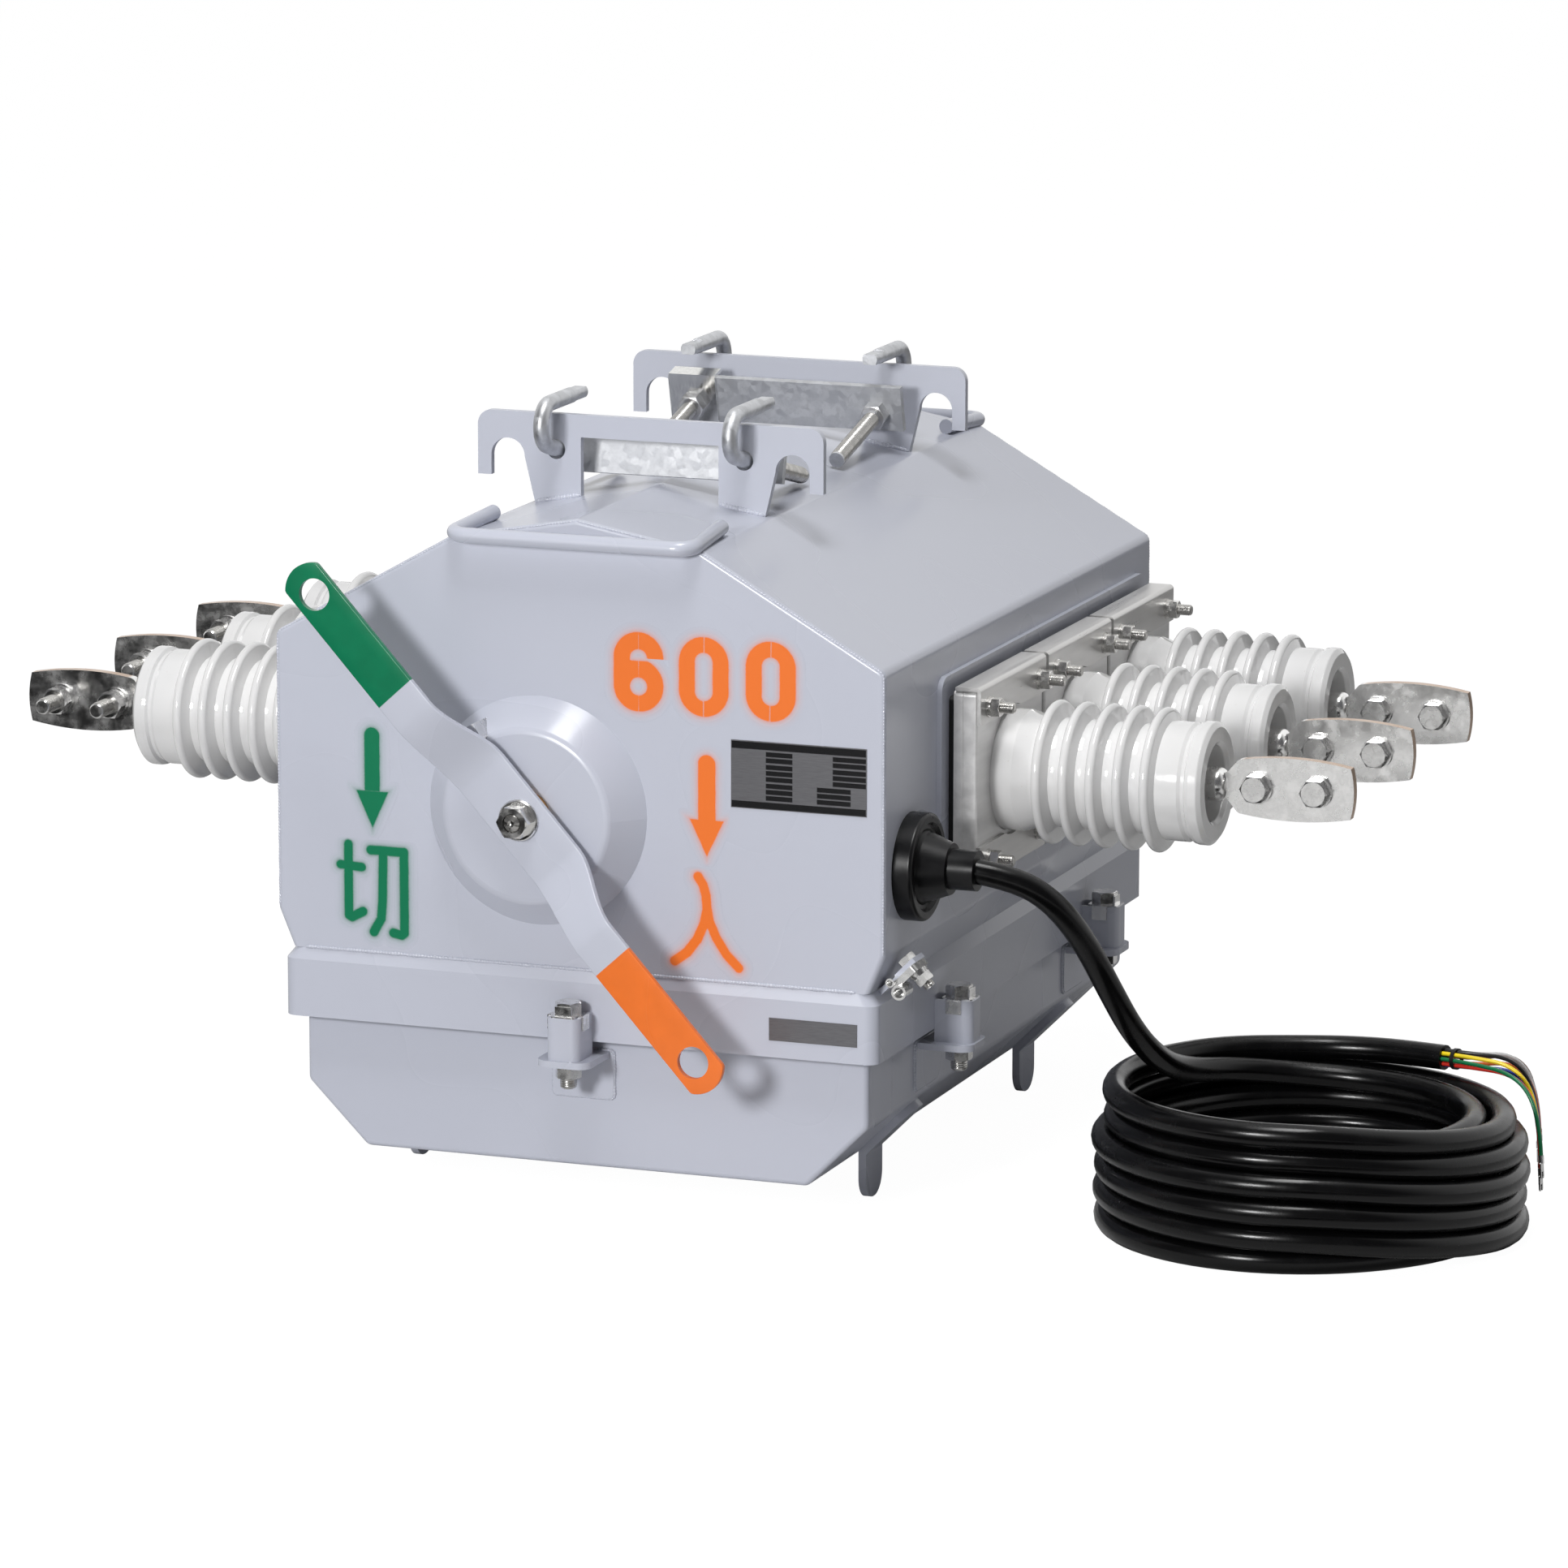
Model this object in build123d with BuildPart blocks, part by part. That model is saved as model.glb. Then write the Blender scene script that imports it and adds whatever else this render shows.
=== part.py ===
from build123d import *
import os
from math import cos, pi, radians, sin, sqrt, tan

# Pole-top air load-break switch in a sheet-steel case, in millimetres.
# X runs along the bushings, Y from the operating lever to the back, Z up.
# The origin is on the floor under the middle of the switch.

# Shared by many pieces: how far a cut runs past what it cuts, and how a hexagon's corners are turned off
cut_past = 1.0
thread_chamfer = 1.0
hex_bevel_inner = 0.48
hex_bevel_outer = 0.6
hex_bevel_drop = 0.06

# Lid: a gabled steel hood with a V groove along each side and a skirt below
steel = 3.2
lid_half_width = 240.0
end_bay = 76.0
fold_radius = 8.0
front_edge_radius = 4.0
eave_z = 425.0
shoulder_x = 97.4
shoulder_z = 505.8
apex_z = 523.2
wall_bottom_z = 214.7
neck_z = 186.5
neck_in = 11.8
skirt_in = 5.0
skirt_out = 3.0
skirt_top_z = 177.8
skirt_bottom_z = 134.3
skirt_corner = 10.0

# Tank: the lower half, with a 45 degree chamfer along each side
tank_in_sides = 17.0
tank_in_ends = 13.0
tank_rim_z = 179.5
tank_chamfer_z = 82.2
tank_floor_z = 34.7
seal_height = 5.0
seal_clearance = 0.2

# Legs: four straps under the chamfers
leg_width = 36.0
leg_thickness = 6.0
leg_in = 38.0
leg_from_end = 120.0
leg_run_up = 52.0
leg_foot_flat = 1.0
leg_top_flat = 2.0

# Clamps that hold the lid on the tank: two on each side, one front, one back
clamp_from_end = 138.0
clamp_bolt_off = 15.0
clamp_strap = 3.2
clamp_half_width = 13.0
clamp_nose = 14.0
clamp_corner = 7.0
clamp_bottom_z = 124.4
clamp_top_z = 156.5
clamp_thread_r = 6.0
clamp_hole_r = 6.8
clamp_head_af = 18.0
clamp_head_height = 9.5
clamp_thread_end_z = 101.5
clamp_nut_height = 10.0
tab_thickness = 1.0
tab_drop = 10.0
tab_half_width = 6.0
tab_side_gap = 0.2
tab_bolt_clearance = 0.3
tab_plate_length = 24.0
tab_plate_width = 19.0
tab_plate_shift = 1.0
tab_plate_corner = 2.0
tab_head_gap = 0.8
tab_lock_width = 13.0
tab_lock_height = 7.0
lug_plate_half_width = 21.0
lug_plate_thickness = 5.0
lug_plate_past_axis = 16.0
lug_pad_half_width = 24.0
lug_pad_height = 36.0
lug_pad_thickness = 2.0
lug_pad_corner = 4.0

# Operating lever on the front dish
pivot_x = -30.5
pivot_z = 304.5
dish_r = 86.0
dish_plateau_r = 64.5
dish_height = 25.0
dish_fold = 7.0
dish_root_fillet = 0.5
dish_rim_fillet = 1.2
bush_flange_r = 20.0
bush_body_r = 17.0
bush_flange_height = 7.2
shaft_r = 11.0
shaft_clearance = 0.05
lever_thickness = 5.0
lever_gap = 0.3
lever_hub_flat = 48.0
lever_rise_end = 98.0
lever_rise = 30.5
lever_bend_radius = 14.0
lever_hub_half_width = 22.5
lever_arm_half_width = 17.0
lever_waist_radius = 30.0
lever_hole_r = 12.0
lever_hole_reach = 220.0
lever_end_past_hole = 24.0
lever_end_radius = 22.0
lever_angle = 132.2
lever_stud_r = 7.0
lever_nut_flange_r = 15.5
lever_nut_flange = 3.0
lever_nut_af = 22.0
lever_nut_height = 14.0
lever_square = 15.0
lever_square_gap = 0.2
lever_stud_below_nut = 1.0
stop_angle = 121.0
stop_reach = 71.0
stop_size = 14.0
stop_thickness = 8.0
stop_height = 10.0
stop_corner = 1.0

# Switch mechanism inside: rotor, cranks and link
rotor_x = 0.0
bushing_z = 320.0
crank_length = 40.0
crank_angle = 69.0
crank_thickness = 5.0
crank_boss_r = 17.0
crank_eye_r = 9.0
crank_pin_r = 4.0
crank_pin_clearance = 0.05
open_pivot_clearance = 0.4
layer_gap = 1.0
handle_crank_in = 25.0
rotor_shaft_r = 12.0
rotor_hub_r = 24.0
rotor_hub_length = 56.0
rotor_back_in = 27.0
bearing_in = 48.0
bearing_thickness = 6.0
bearing_half_width = 32.0
bearing_collar_r = 20.0
bearing_collar_length = 8.0
bearing_gap = 0.3
blade_short_of_barrel = 42.0
blade_half_height = 13.0
blade_thickness = 8.0
blade_tip_half_height = 10.0
blade_hub_margin = 4.0
jaw_gap = 0.4
jaw_finger = 6.0
jaw_from_barrel = 68.0
jaw_half_height = 15.0
jaw_back_from_barrel = 37.5
jaw_end_from_barrel = 22.0
jaw_block_half_depth = 15.0
jaw_lip = 2.0
chute_wall = 3.0
chute_inside_tip = 32.0
chute_outside_tip = 30.0
chute_from = -6.0
chute_to = 54.0
chute_bar_count = 5
chute_bar_first = 15.0
chute_bar_step = 8.0
chute_bar_from_tip = 6.0
chute_bar_to_tip = 29.0
chute_bar_thickness = 2.0

# Current transformer round the three left inner barrels
ct_past_barrel_end = 14.0
ct_depth = 26.0
ct_inner_r = 41.0
ct_outer_r = 56.0
ct_foot_r = 6.0
ct_edge = 3.0

# Bushings: three on each side
phase_pitch = 156.0
phase_middle_y = 43.5
barrel_inside = 72.0
porcelain_inner_r = 38.0
porcelain_base_r = 45.5
porcelain_core_r = 41.0
porcelain_bore_r = 13.0
collar_r = 54.0
shed_r = 54.0
shed_count = 5
first_shed_out = 61.0
shed_pitch = 20.9
shed_half_root = 6.2
shed_half_tip = 3.6
shed_tip_round = 3.4
end_cylinder_r = 44.5
end_groove_r = 43.0
end_ring_r = 46.0
end_ring_half = 6.6
end_ring_past_shed = 34.8
recess_r = 28.5
recess_depth = 34.0
recess_lip = 3.0
base_taper_gap = 3.0
root_dip = 0.6
groove_start = 5.0
groove_taper_end = 2.5
ring_lead = 1.5
ring_lead_drop = 0.6
ring_flat_start = 4.0
ring_bevel_along = 3.0
ring_bevel_in = 4.0
ring_rounding = 1.5

# Flanges that hold the bushings
pad_height = 4.0
pad_margin = 10.0
pad_corner = 12.0
wall_hole_r = 47.0
seal_thickness = 5.8
seal_inset = 6.0
back_plate_thickness = 7.3
front_plate_thickness = 10.9
plate_gap = 6.0
plate_lower = 8.0
plate_edge_radius = 2.0
back_edge_radius = 0.8
plate_corner = 4.0
ring_clearance = 0.4
strip_thickness = 2.8
strip_face = 28.0
strip_return = 17.0
strip_fold_radius = 0.5
strip_notch_gap = 3.5
stud_margin = 17.5
stud_r = 4.0
stud_hole_r = 4.5
stud_past_strip = 20.7
stud_chamfer = 0.8
stud_nut_af = 13.0
stud_nut_height = 6.5
stud_washer_r = 8.0
stud_washer = 1.6
stud_spring_r = 7.3
stud_spring = 2.0

# Terminals
conductor_r = 12.5
neck_past_ring = 14.6
neck_half = 9.5
neck_flare = 9.0
neck_fillet = 5.0
conductor_nose = 7.0
palm_length = 97.7
palm_half_height = 23.5
palm_end_half = 19.0
palm_root_half = 20.0
palm_thickness = 8.0
palm_end_bow = 2.5
terminal_bolt_from_neck = (23.5, 69.3)
terminal_bolt_r = 6.0
terminal_hole_r = 6.6
terminal_head_af = 19.0
terminal_head_height = 7.5
terminal_nut_height = 10.0
terminal_bolt_tip = 41.0
terminal_washer_r = 12.0
terminal_washer = 2.5
terminal_spring_r = 10.4
terminal_spring = 3.0
terminal_chamfer = 1.2

# Hanger plates on the roof
hanger_from_end = 154.0
hanger_thickness = 6.0
hanger_half_width = 138.0
hanger_rise = 51.8
hanger_corner = 11.0
hanger_prong_drop = 49.0
notch_centre_x = 113.7
notch_r = 13.5
notch_centre_drop = 34.0
hanger_leg_inner_x = 55.0
hanger_leg_outer_x = 92.0
hanger_rail = 17.0
hanger_window_corner = 8.0
hanger_prong_round = 2.0

# J bolts and the bars that they draw in
hook_x = 75.0
hook_drop = 27.0
hook_r = 6.0
hook_hole_r = 7.5
hook_droop = 14.1
hook_bend = 16.0
hook_past_plate = 19.0
hook_tip_in = 44.0
hook_shank_in = 118.0
hook_flat = 8.0
hook_flat_length = 20.0
bar_in = 25.0
bar_length = 192.0
bar_height = 36.0
bar_thickness = 6.0
bar_lift = 4.0
bar_hole_r = 6.6
saddle_width = 38.0
saddle_thickness = 3.0
saddle_lip = 12.0
hook_nut_af = 19.0
hook_nut_height = 10.0

# Carrying rods on the front and back edges of the roof
rod_r = 5.8
rod_half_width = 95.0
rod_past_lid = 13.0
rod_z = 508.5
rod_leg_in = 62.0
rod_leg_x = 90.0
rod_bend = 13.0

# Cable gland, cable and coil
gland_from_end = 55.0
gland_z = 272.5
gland_r = 40.0
gland_rim = 15.0
gland_nose_r = 26.0
gland_nose_out = 33.0
gland_neck_r = 15.0
gland_neck_out = 53.0
gland_spigot_r = 14.0
gland_spigot_clearance = 0.3
gland_spigot_past = 4.0
gland_step = 7.0
gland_groove_in = 9.0
gland_groove = 3.0
gland_nose_flare = 2.0
gland_shoulder = 4.0
gland_edge = 3.0
cable_r = 9.5
cable_in_gland = 4.0
cable_from_gland = (
    (27, 6, 267.5),
    (53, 15, 250.5),
    (71, 32, 219.5),
    (83, 55, 179.5),
    (93, 81, 142.0),
    (102, 118, 112.5),
    (111, 158, 97.0),
)
coil_from_gland = 224.6
coil_behind_gland = 105.5
coil_outer_r = 161.0
coil_inner_r = 121.0
coil_height = 97.0
coil_round = 8.0
tail_from_coil = (
    (-39.6, 137.0, 93.0),
    (-7.6, 141.0, 99.5),
    (28.4, 138.5, 104.0),
    (64.4, 127.9, 105.0),
)
core_r = 1.3
core_circle_r = 5.6
core_count = 8
core_straight = 21.0
core_over_from_coil = ((128.4, 97.5, 104.0), (108.4, 163.5, 104.0))
core_below_from_coil = ((148.4, 87.5, 78.0), (122.4, 177.5, 78.0))
core_tips_from_coil = ((151.4, 83.5, 40.0), (121.4, 187.5, 40.0))
core_over_spread = 3.0
core_tip_spread = 8.0
lug_width = 8.0
lug_length = 12.0
lug_barrel = 6.0
lug_crimp = 0.7
lug_thickness = 1.2
lug_slot = 3.6
lug_overlap = 1.0
lug_corner = 2.0
tie_off = 8.0
tie_width = 3.0
tie_thickness = 0.8
tie_clearance = 0.3

# Earth terminal in the groove at the right front corner, on a tab that slopes at 45 degrees
earth_from_end = 29.0
earth_z = 200.0
earth_tab_back = 2.0
earth_tab_thickness = 4.0
earth_tab_half_width = 10.0
earth_tab_rise = 19.0
earth_bolt_up = 10.8
earth_bolt_r = 4.0
earth_bolt_end = 26.0
earth_hole_clearance = 0.3
earth_plate_corner = 3.0
earth_barrel_past_plate = 4.0
earth_barrel_bottom = 3.0
earth_head_height = 5.3
earth_small_plate = 2.5
earth_large_plate = 3.0
earth_plate_half_width = 9.0
earth_barrel_down = 2.3
earth_barrel_mouth = 22.0
earth_large_r = 5.6
earth_large_bore = 3.85
earth_large_out = 14.6
earth_large_depth = 13.0
earth_small_r = 3.4
earth_small_bore = 2.2
earth_small_out = 5.0
earth_small_depth = 9.0

# Sizes that follow from those above
lid_half_depth = 1.5 * phase_pitch + end_bay
neck_half_width = lid_half_width - neck_in
skirt_half_width = lid_half_width - skirt_in
skirt_half_depth = lid_half_depth + skirt_out
tank_half_width = lid_half_width - tank_in_sides
tank_half_depth = lid_half_depth - tank_in_ends
leg_reach_x = tank_half_width - leg_in
leg_y = tank_half_depth - leg_from_end
clamp_y = lid_half_depth - clamp_from_end
handle_crank_y = lid_half_depth - handle_crank_in
rotor_back_y = lid_half_depth - rotor_back_in
bearing_y = lid_half_depth - bearing_in
plate_width = phase_pitch - plate_gap
plate_height = plate_width - plate_lower
stud_pitch = plate_width - 2 * stud_margin
hanger_top_z = apex_z + hanger_rise
hanger_prong_z = hanger_top_z - hanger_prong_drop
notch_centre_z = hanger_top_z - notch_centre_drop
hanger_window_z = hanger_top_z - hanger_rail
hook_z = hanger_top_z - hook_drop
hanger_inner_y = lid_half_depth - hanger_from_end
hook_outer_y = hanger_inner_y + hook_past_plate
hook_tip_y = hanger_inner_y - hook_tip_in
hook_shank_end_y = hanger_inner_y - hook_shank_in
bar_y = hanger_inner_y - bar_in
rod_reach_y = lid_half_depth + rod_past_lid
rod_leg_y = lid_half_depth - rod_leg_in
gland_y = lid_half_depth - gland_from_end
earth_y = lid_half_depth - earth_from_end
earth_x = lid_half_width
lever_back_y = lid_half_depth + dish_height + bush_flange_height + lever_gap
lever_hub_front_y = lever_back_y + lever_thickness
lever_front_y = lever_hub_front_y + lever_rise
lug_reach_y = skirt_half_depth + clamp_bolt_off + lug_plate_past_axis
case_y = (lever_front_y - lug_reach_y) / 2
face_x = lid_half_width + pad_height
back_plate_x = face_x + seal_thickness
front_plate_x = back_plate_x + back_plate_thickness
strip_x = front_plate_x + front_plate_thickness
strip_face_x = strip_x + strip_thickness
phases = [phase_middle_y + step * phase_pitch for step in (-1, 0, 1)]
roof_fall = (apex_z - shoulder_z) / shoulder_x
porcelain_inner_x = face_x - barrel_inside
blade_reach = porcelain_inner_x - blade_short_of_barrel
jaw_inner_x = porcelain_inner_x - jaw_from_barrel
jaw_back_x = porcelain_inner_x - jaw_back_from_barrel
jaw_end_x = porcelain_inner_x - jaw_end_from_barrel
chute_inner_r = blade_reach - chute_inside_tip
chute_outer_r = blade_reach + chute_outside_tip
chute_bar_inner_r = blade_reach + chute_bar_from_tip
chute_bar_outer_r = blade_reach + chute_bar_to_tip
ct_inner_x = porcelain_inner_x + ct_past_barrel_end
first_shed_x = face_x + first_shed_out
end_ring_x = first_shed_x + (shed_count - 1) * shed_pitch + end_ring_past_shed
stud_tip_x = strip_face_x + stud_past_strip
neck_x = end_ring_x + neck_past_ring
palm_end_x = neck_x + palm_length
terminal_bolt_x = [neck_x + along for along in terminal_bolt_from_neck]
gland_nose_x = lid_half_width + gland_nose_out
gland_neck_x = lid_half_width + gland_neck_out
coil_x = gland_neck_x + coil_from_gland
coil_y = coil_behind_gland - gland_y
cable_route = [(gland_neck_x + x, y - gland_y, z) for x, y, z in cable_from_gland]
tail_route = [(coil_x + x, coil_y + y, z) for x, y, z in tail_from_coil]
core_over = [(coil_x + x, coil_y + y, z) for x, y, z in core_over_from_coil]
core_below = [(coil_x + x, coil_y + y, z) for x, y, z in core_below_from_coil]
core_tips = [(coil_x + x, coil_y + y, z) for x, y, z in core_tips_from_coil]
sides = {"right": 1, "left": -1}


def roof_z(x):
    """Height of the roof's shallow upper slopes at a distance from the ridge."""
    return apex_z - roof_fall * abs(x)


def level(z):
    """A horizontal plane over the middle of the case."""
    return Plane(origin=(0, case_y, z), x_dir=(1, 0, 0), z_dir=(0, 0, 1))


def facing_front(reach):
    """An upright plane in front of the case's middle, seen from the front."""
    return Plane(origin=(0, case_y - reach, 0), x_dir=(1, 0, 0), z_dir=(0, -1, 0))


def facing_side(side, reach):
    """An upright plane beside the case, seen from that side, with its x towards the back on the right."""
    return Plane(origin=(side * reach, case_y, 0), x_dir=(0, side, 0), z_dir=(side, 0, 0))


def along_phase(side, y):
    """The upright plane through a bushing's axis, with its x outwards and its y up from the axis."""
    return Plane(origin=(0, case_y + y, bushing_z), x_dir=(side, 0, 0), z_dir=(0, -side, 0))


def upright_cut(x):
    """An upright plane across the case's front edge, with its x towards the front."""
    return Plane(origin=(x, case_y, 0), x_dir=(0, -1, 0), z_dir=(-1, 0, 0))


def save(name, solid):
    """Labels a finished piece and writes it to its own file."""
    solid.label = name
    export_step(solid, f"parts/{name}.step")


def ring_of(outer, inner, thickness, start=0.0):
    """A plain washer on the XY plane."""
    with BuildPart() as washer:
        with BuildSketch(Plane.XY.offset(start)):
            Circle(outer)
            Circle(inner, mode=Mode.SUBTRACT)
        extrude(amount=thickness)
    return washer.part


def hex_of(across_flats, height, bore=0.0, start=0.0):
    """A hexagonal head or nut on the XY plane, with its corners turned off at the top."""
    with BuildPart() as nut:
        with BuildSketch(Plane.XY.offset(start)):
            RegularPolygon(across_flats / 2, 6, major_radius=False)
        extrude(amount=height)
        with BuildSketch(Plane.XZ):
            with BuildLine():
                top = start + height
                inner = across_flats * hex_bevel_inner
                outer = across_flats * hex_bevel_outer
                drop = across_flats * hex_bevel_drop
                high = top + cut_past
                Polyline((inner, high), (inner, top), (outer, top - drop), (outer, high), close=True)
            make_face()
        revolve(axis=Axis.Z, mode=Mode.SUBTRACT)
        if bore:
            with BuildSketch(Plane.XY.offset(start)):
                Circle(bore)
            extrude(amount=height, mode=Mode.SUBTRACT)
    return nut.part


def bent_path_radii(points):
    """The largest tangent arcs that a route of straight runs has room for."""
    radii = []
    for before, corner, after in zip(points, points[1:], points[2:]):
        arriving = Vector(*corner) - Vector(*before)
        leaving = Vector(*after) - Vector(*corner)
        turn = radians(arriving.get_angle(leaving))
        radii.append(0.45 * min(arriving.length, leaving.length) / tan(turn / 2))
    return radii


os.makedirs("parts", exist_ok=True)


# Lid and tank


def hood_form(inset):
    """The gabled upper part of the lid as a solid block, drawn in from its outer faces by a thickness."""
    with BuildPart() as form:
        with BuildSketch(facing_front(lid_half_depth - inset)) as gable:
            with BuildLine():
                Polyline(
                    (-neck_half_width, neck_z),
                    (-lid_half_width, wall_bottom_z),
                    (-lid_half_width, eave_z),
                    (-shoulder_x, shoulder_z),
                    (0, apex_z),
                    (shoulder_x, shoulder_z),
                    (lid_half_width, eave_z),
                    (lid_half_width, wall_bottom_z),
                    (neck_half_width, neck_z),
                    close=True,
                )
            make_face()
            fillet(gable.vertices().sort_by(Axis.Y)[2:], radius=fold_radius)
            if inset:
                offset(amount=-inset, kind=Kind.INTERSECTION)
        extrude(amount=-2 * (lid_half_depth - inset))
        if not inset:
            rim = form.faces().sort_by(Axis.Y)[0].edges() + form.faces().sort_by(Axis.Y)[-1].edges()
            fillet([edge for edge in rim if edge.center().Z > neck_z + cut_past], radius=front_edge_radius)
    return form.part


def skirt_form(inset, bottom_z):
    """The skirt below the V groove as a solid block, narrowing to the groove at its top."""
    width = 2 * (skirt_half_width - inset)
    depth = 2 * (skirt_half_depth - inset)
    neck = (2 * (neck_half_width - inset), 2 * (lid_half_depth - inset))
    with BuildPart() as form:
        with BuildSketch(level(bottom_z)):
            RectangleRounded(width, depth, skirt_corner - inset)
        extrude(amount=skirt_top_z - bottom_z)
        with BuildSketch(level(skirt_top_z)):
            RectangleRounded(width, depth, skirt_corner - inset)
        with BuildSketch(level(neck_z)):
            RectangleRounded(*neck, skirt_corner - inset)
        loft()
        if inset:
            with BuildSketch(level(neck_z)):
                RectangleRounded(*neck, skirt_corner - inset)
            extrude(amount=2 * inset)
    return form.part


def dish_form(inset):
    """The round pressing round the lever's shaft, with its cone and plateau, drawn in by a thickness."""
    with BuildPart() as form:
        middle = (pivot_x, case_y - lid_half_depth, pivot_z)
        with BuildSketch(Plane(origin=middle, x_dir=(1, 0, 0), z_dir=(0, 0, 1))):
            with BuildLine():
                rise = dish_height - inset
                FilletPolyline(
                    (0, steel),
                    (dish_r - inset, steel),
                    (dish_r - inset, 0),
                    (dish_plateau_r - inset, -rise),
                    (0, -rise),
                    radius=[dish_root_fillet, dish_rim_fillet, dish_fold],
                )
                Line((0, -rise), (0, steel))
            make_face()
        revolve(axis=Axis((pivot_x, 0, pivot_z), (0, 1, 0)))
    return form.part


def earth_plane(out):
    """A plane on the earth tab's slope, with its x up the slope and its y to the front."""
    return Plane(
        origin=(earth_x + out / sqrt(2), case_y - earth_y, earth_z - out / sqrt(2)),
        x_dir=(1, 0, 1),
        z_dir=(1, 0, -1),
    )


def seat_outline(margin, corner, reach, side):
    """A rounded upright rectangle round a side's three bushings."""
    with BuildSketch(facing_side(side, reach)) as outline:
        with Locations((side * phase_middle_y, bushing_z)):
            RectangleRounded(2 * phase_pitch + plate_width + 2 * margin, plate_height + 2 * margin, corner)
    return outline.sketch


with BuildPart() as lid:
    add(hood_form(0))
    add(skirt_form(0, skirt_bottom_z))
    for side in sides.values():
        extrude(seat_outline(pad_margin, pad_corner, lid_half_width, side), amount=pad_height)
    add(dish_form(0))
    with BuildSketch(earth_plane(earth_tab_back)):
        Rectangle(2 * earth_tab_rise, 2 * earth_tab_half_width)
        with Locations((earth_bolt_up, 0)):
            Circle(earth_bolt_r + earth_hole_clearance, mode=Mode.SUBTRACT)
    extrude(amount=earth_tab_thickness)
    add(hood_form(steel), mode=Mode.SUBTRACT)
    add(skirt_form(steel, skirt_bottom_z - steel), mode=Mode.SUBTRACT)
    add(dish_form(steel), mode=Mode.SUBTRACT)
    for side in sides.values():
        with BuildSketch(facing_side(side, face_x)):
            for y in phases:
                with Locations((side * y, bushing_z)):
                    Circle(wall_hole_r)
        extrude(amount=-(pad_height + 2 * steel), mode=Mode.SUBTRACT)
    with BuildSketch(facing_front(lid_half_depth + dish_height)):
        with Locations((pivot_x, pivot_z)):
            Circle(bush_body_r)
    extrude(amount=-2 * steel, mode=Mode.SUBTRACT)
    with BuildSketch(facing_side(1, lid_half_width)):
        with Locations((-gland_y, gland_z)):
            Circle(gland_spigot_r + gland_spigot_clearance)
    extrude(amount=-2 * steel, mode=Mode.SUBTRACT)
save("lid", lid.part)


def tank_form(inset, top_z):
    """The tank as a solid block, chamfered along both sides and drawn in by a thickness."""
    with BuildPart() as form:
        with BuildSketch(facing_front(tank_half_depth - inset)) as profile:
            with BuildLine():
                floor_half = tank_half_width - (tank_chamfer_z - tank_floor_z)
                Polyline(
                    (-floor_half, tank_floor_z),
                    (-tank_half_width, tank_chamfer_z),
                    (-tank_half_width, top_z + inset),
                    (tank_half_width, top_z + inset),
                    (tank_half_width, tank_chamfer_z),
                    (floor_half, tank_floor_z),
                    close=True,
                )
            make_face()
            if inset:
                offset(amount=-inset, kind=Kind.INTERSECTION)
            else:
                fillet(profile.vertices().sort_by(Axis.Y)[:4], radius=fold_radius)
        extrude(amount=-2 * (tank_half_depth - inset))
        if not inset:
            rim = form.faces().sort_by(Axis.Y)[0].edges() + form.faces().sort_by(Axis.Y)[-1].edges()
            fillet([edge for edge in rim if edge.center().Z < top_z - cut_past], radius=front_edge_radius)
    return form.part


with BuildPart() as tank:
    add(tank_form(0, tank_rim_z))
    add(tank_form(steel, tank_rim_z + steel), mode=Mode.SUBTRACT)
save("tank", tank.part)

# The seal stands on the tank's rim and fills the narrowing gap inside the lid's groove
with BuildPart() as seal:
    with BuildSketch(level(tank_rim_z)):
        Rectangle(2 * lid_half_width, 2 * skirt_half_depth)
    extrude(amount=seal_height)
    add(skirt_form(steel + seal_clearance, skirt_bottom_z), mode=Mode.INTERSECT)
    with BuildSketch(level(tank_rim_z)):
        Rectangle(2 * (tank_half_width - steel), 2 * (tank_half_depth - steel))
    extrude(amount=seal_height, mode=Mode.SUBTRACT)
save("case_seal", seal.part)

# A leg's strap hangs straight down and its upper end lies on the tank's chamfer
with BuildPart() as leg:
    with BuildSketch(Plane(origin=(0, case_y - leg_width / 2, 0), x_dir=(1, 0, 0), z_dir=(0, -1, 0))):
        with BuildLine():
            bend_x = leg_reach_x - leg_thickness
            bend_z = tank_chamfer_z - (tank_half_width - bend_x)
            run = leg_run_up / sqrt(2)
            skew = leg_thickness * tan(radians(22.5))
            Polyline(
                (bend_x, 0),
                (leg_reach_x, 0),
                (leg_reach_x, bend_z - skew),
                (leg_reach_x + run, bend_z - skew + run),
                (leg_reach_x + run - leg_thickness / sqrt(2), bend_z - skew + run + leg_thickness / sqrt(2)),
                (bend_x, bend_z),
                close=True,
            )
        make_face()
    extrude(amount=-leg_width)
    foot_edges = leg.edges().filter_by(Axis.X).group_by(Axis.Z)[0]
    fillet(foot_edges, radius=leg_width / 2 - leg_foot_flat)
    end_face = leg.faces().sort_by(Axis.Z)[-1]
    fillet(end_face.edges().filter_by(Axis.Y, reverse=True), radius=leg_width / 2 - leg_top_flat)
with BuildPart() as legs:
    for turn in (0, 180):
        for y in (-leg_y, leg_y):
            with Locations(Location((0, y, 0))):
                add(leg.part if turn == 0 else mirror(leg.part, about=Plane.YZ, mode=Mode.PRIVATE))
save("legs", legs.part)


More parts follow.
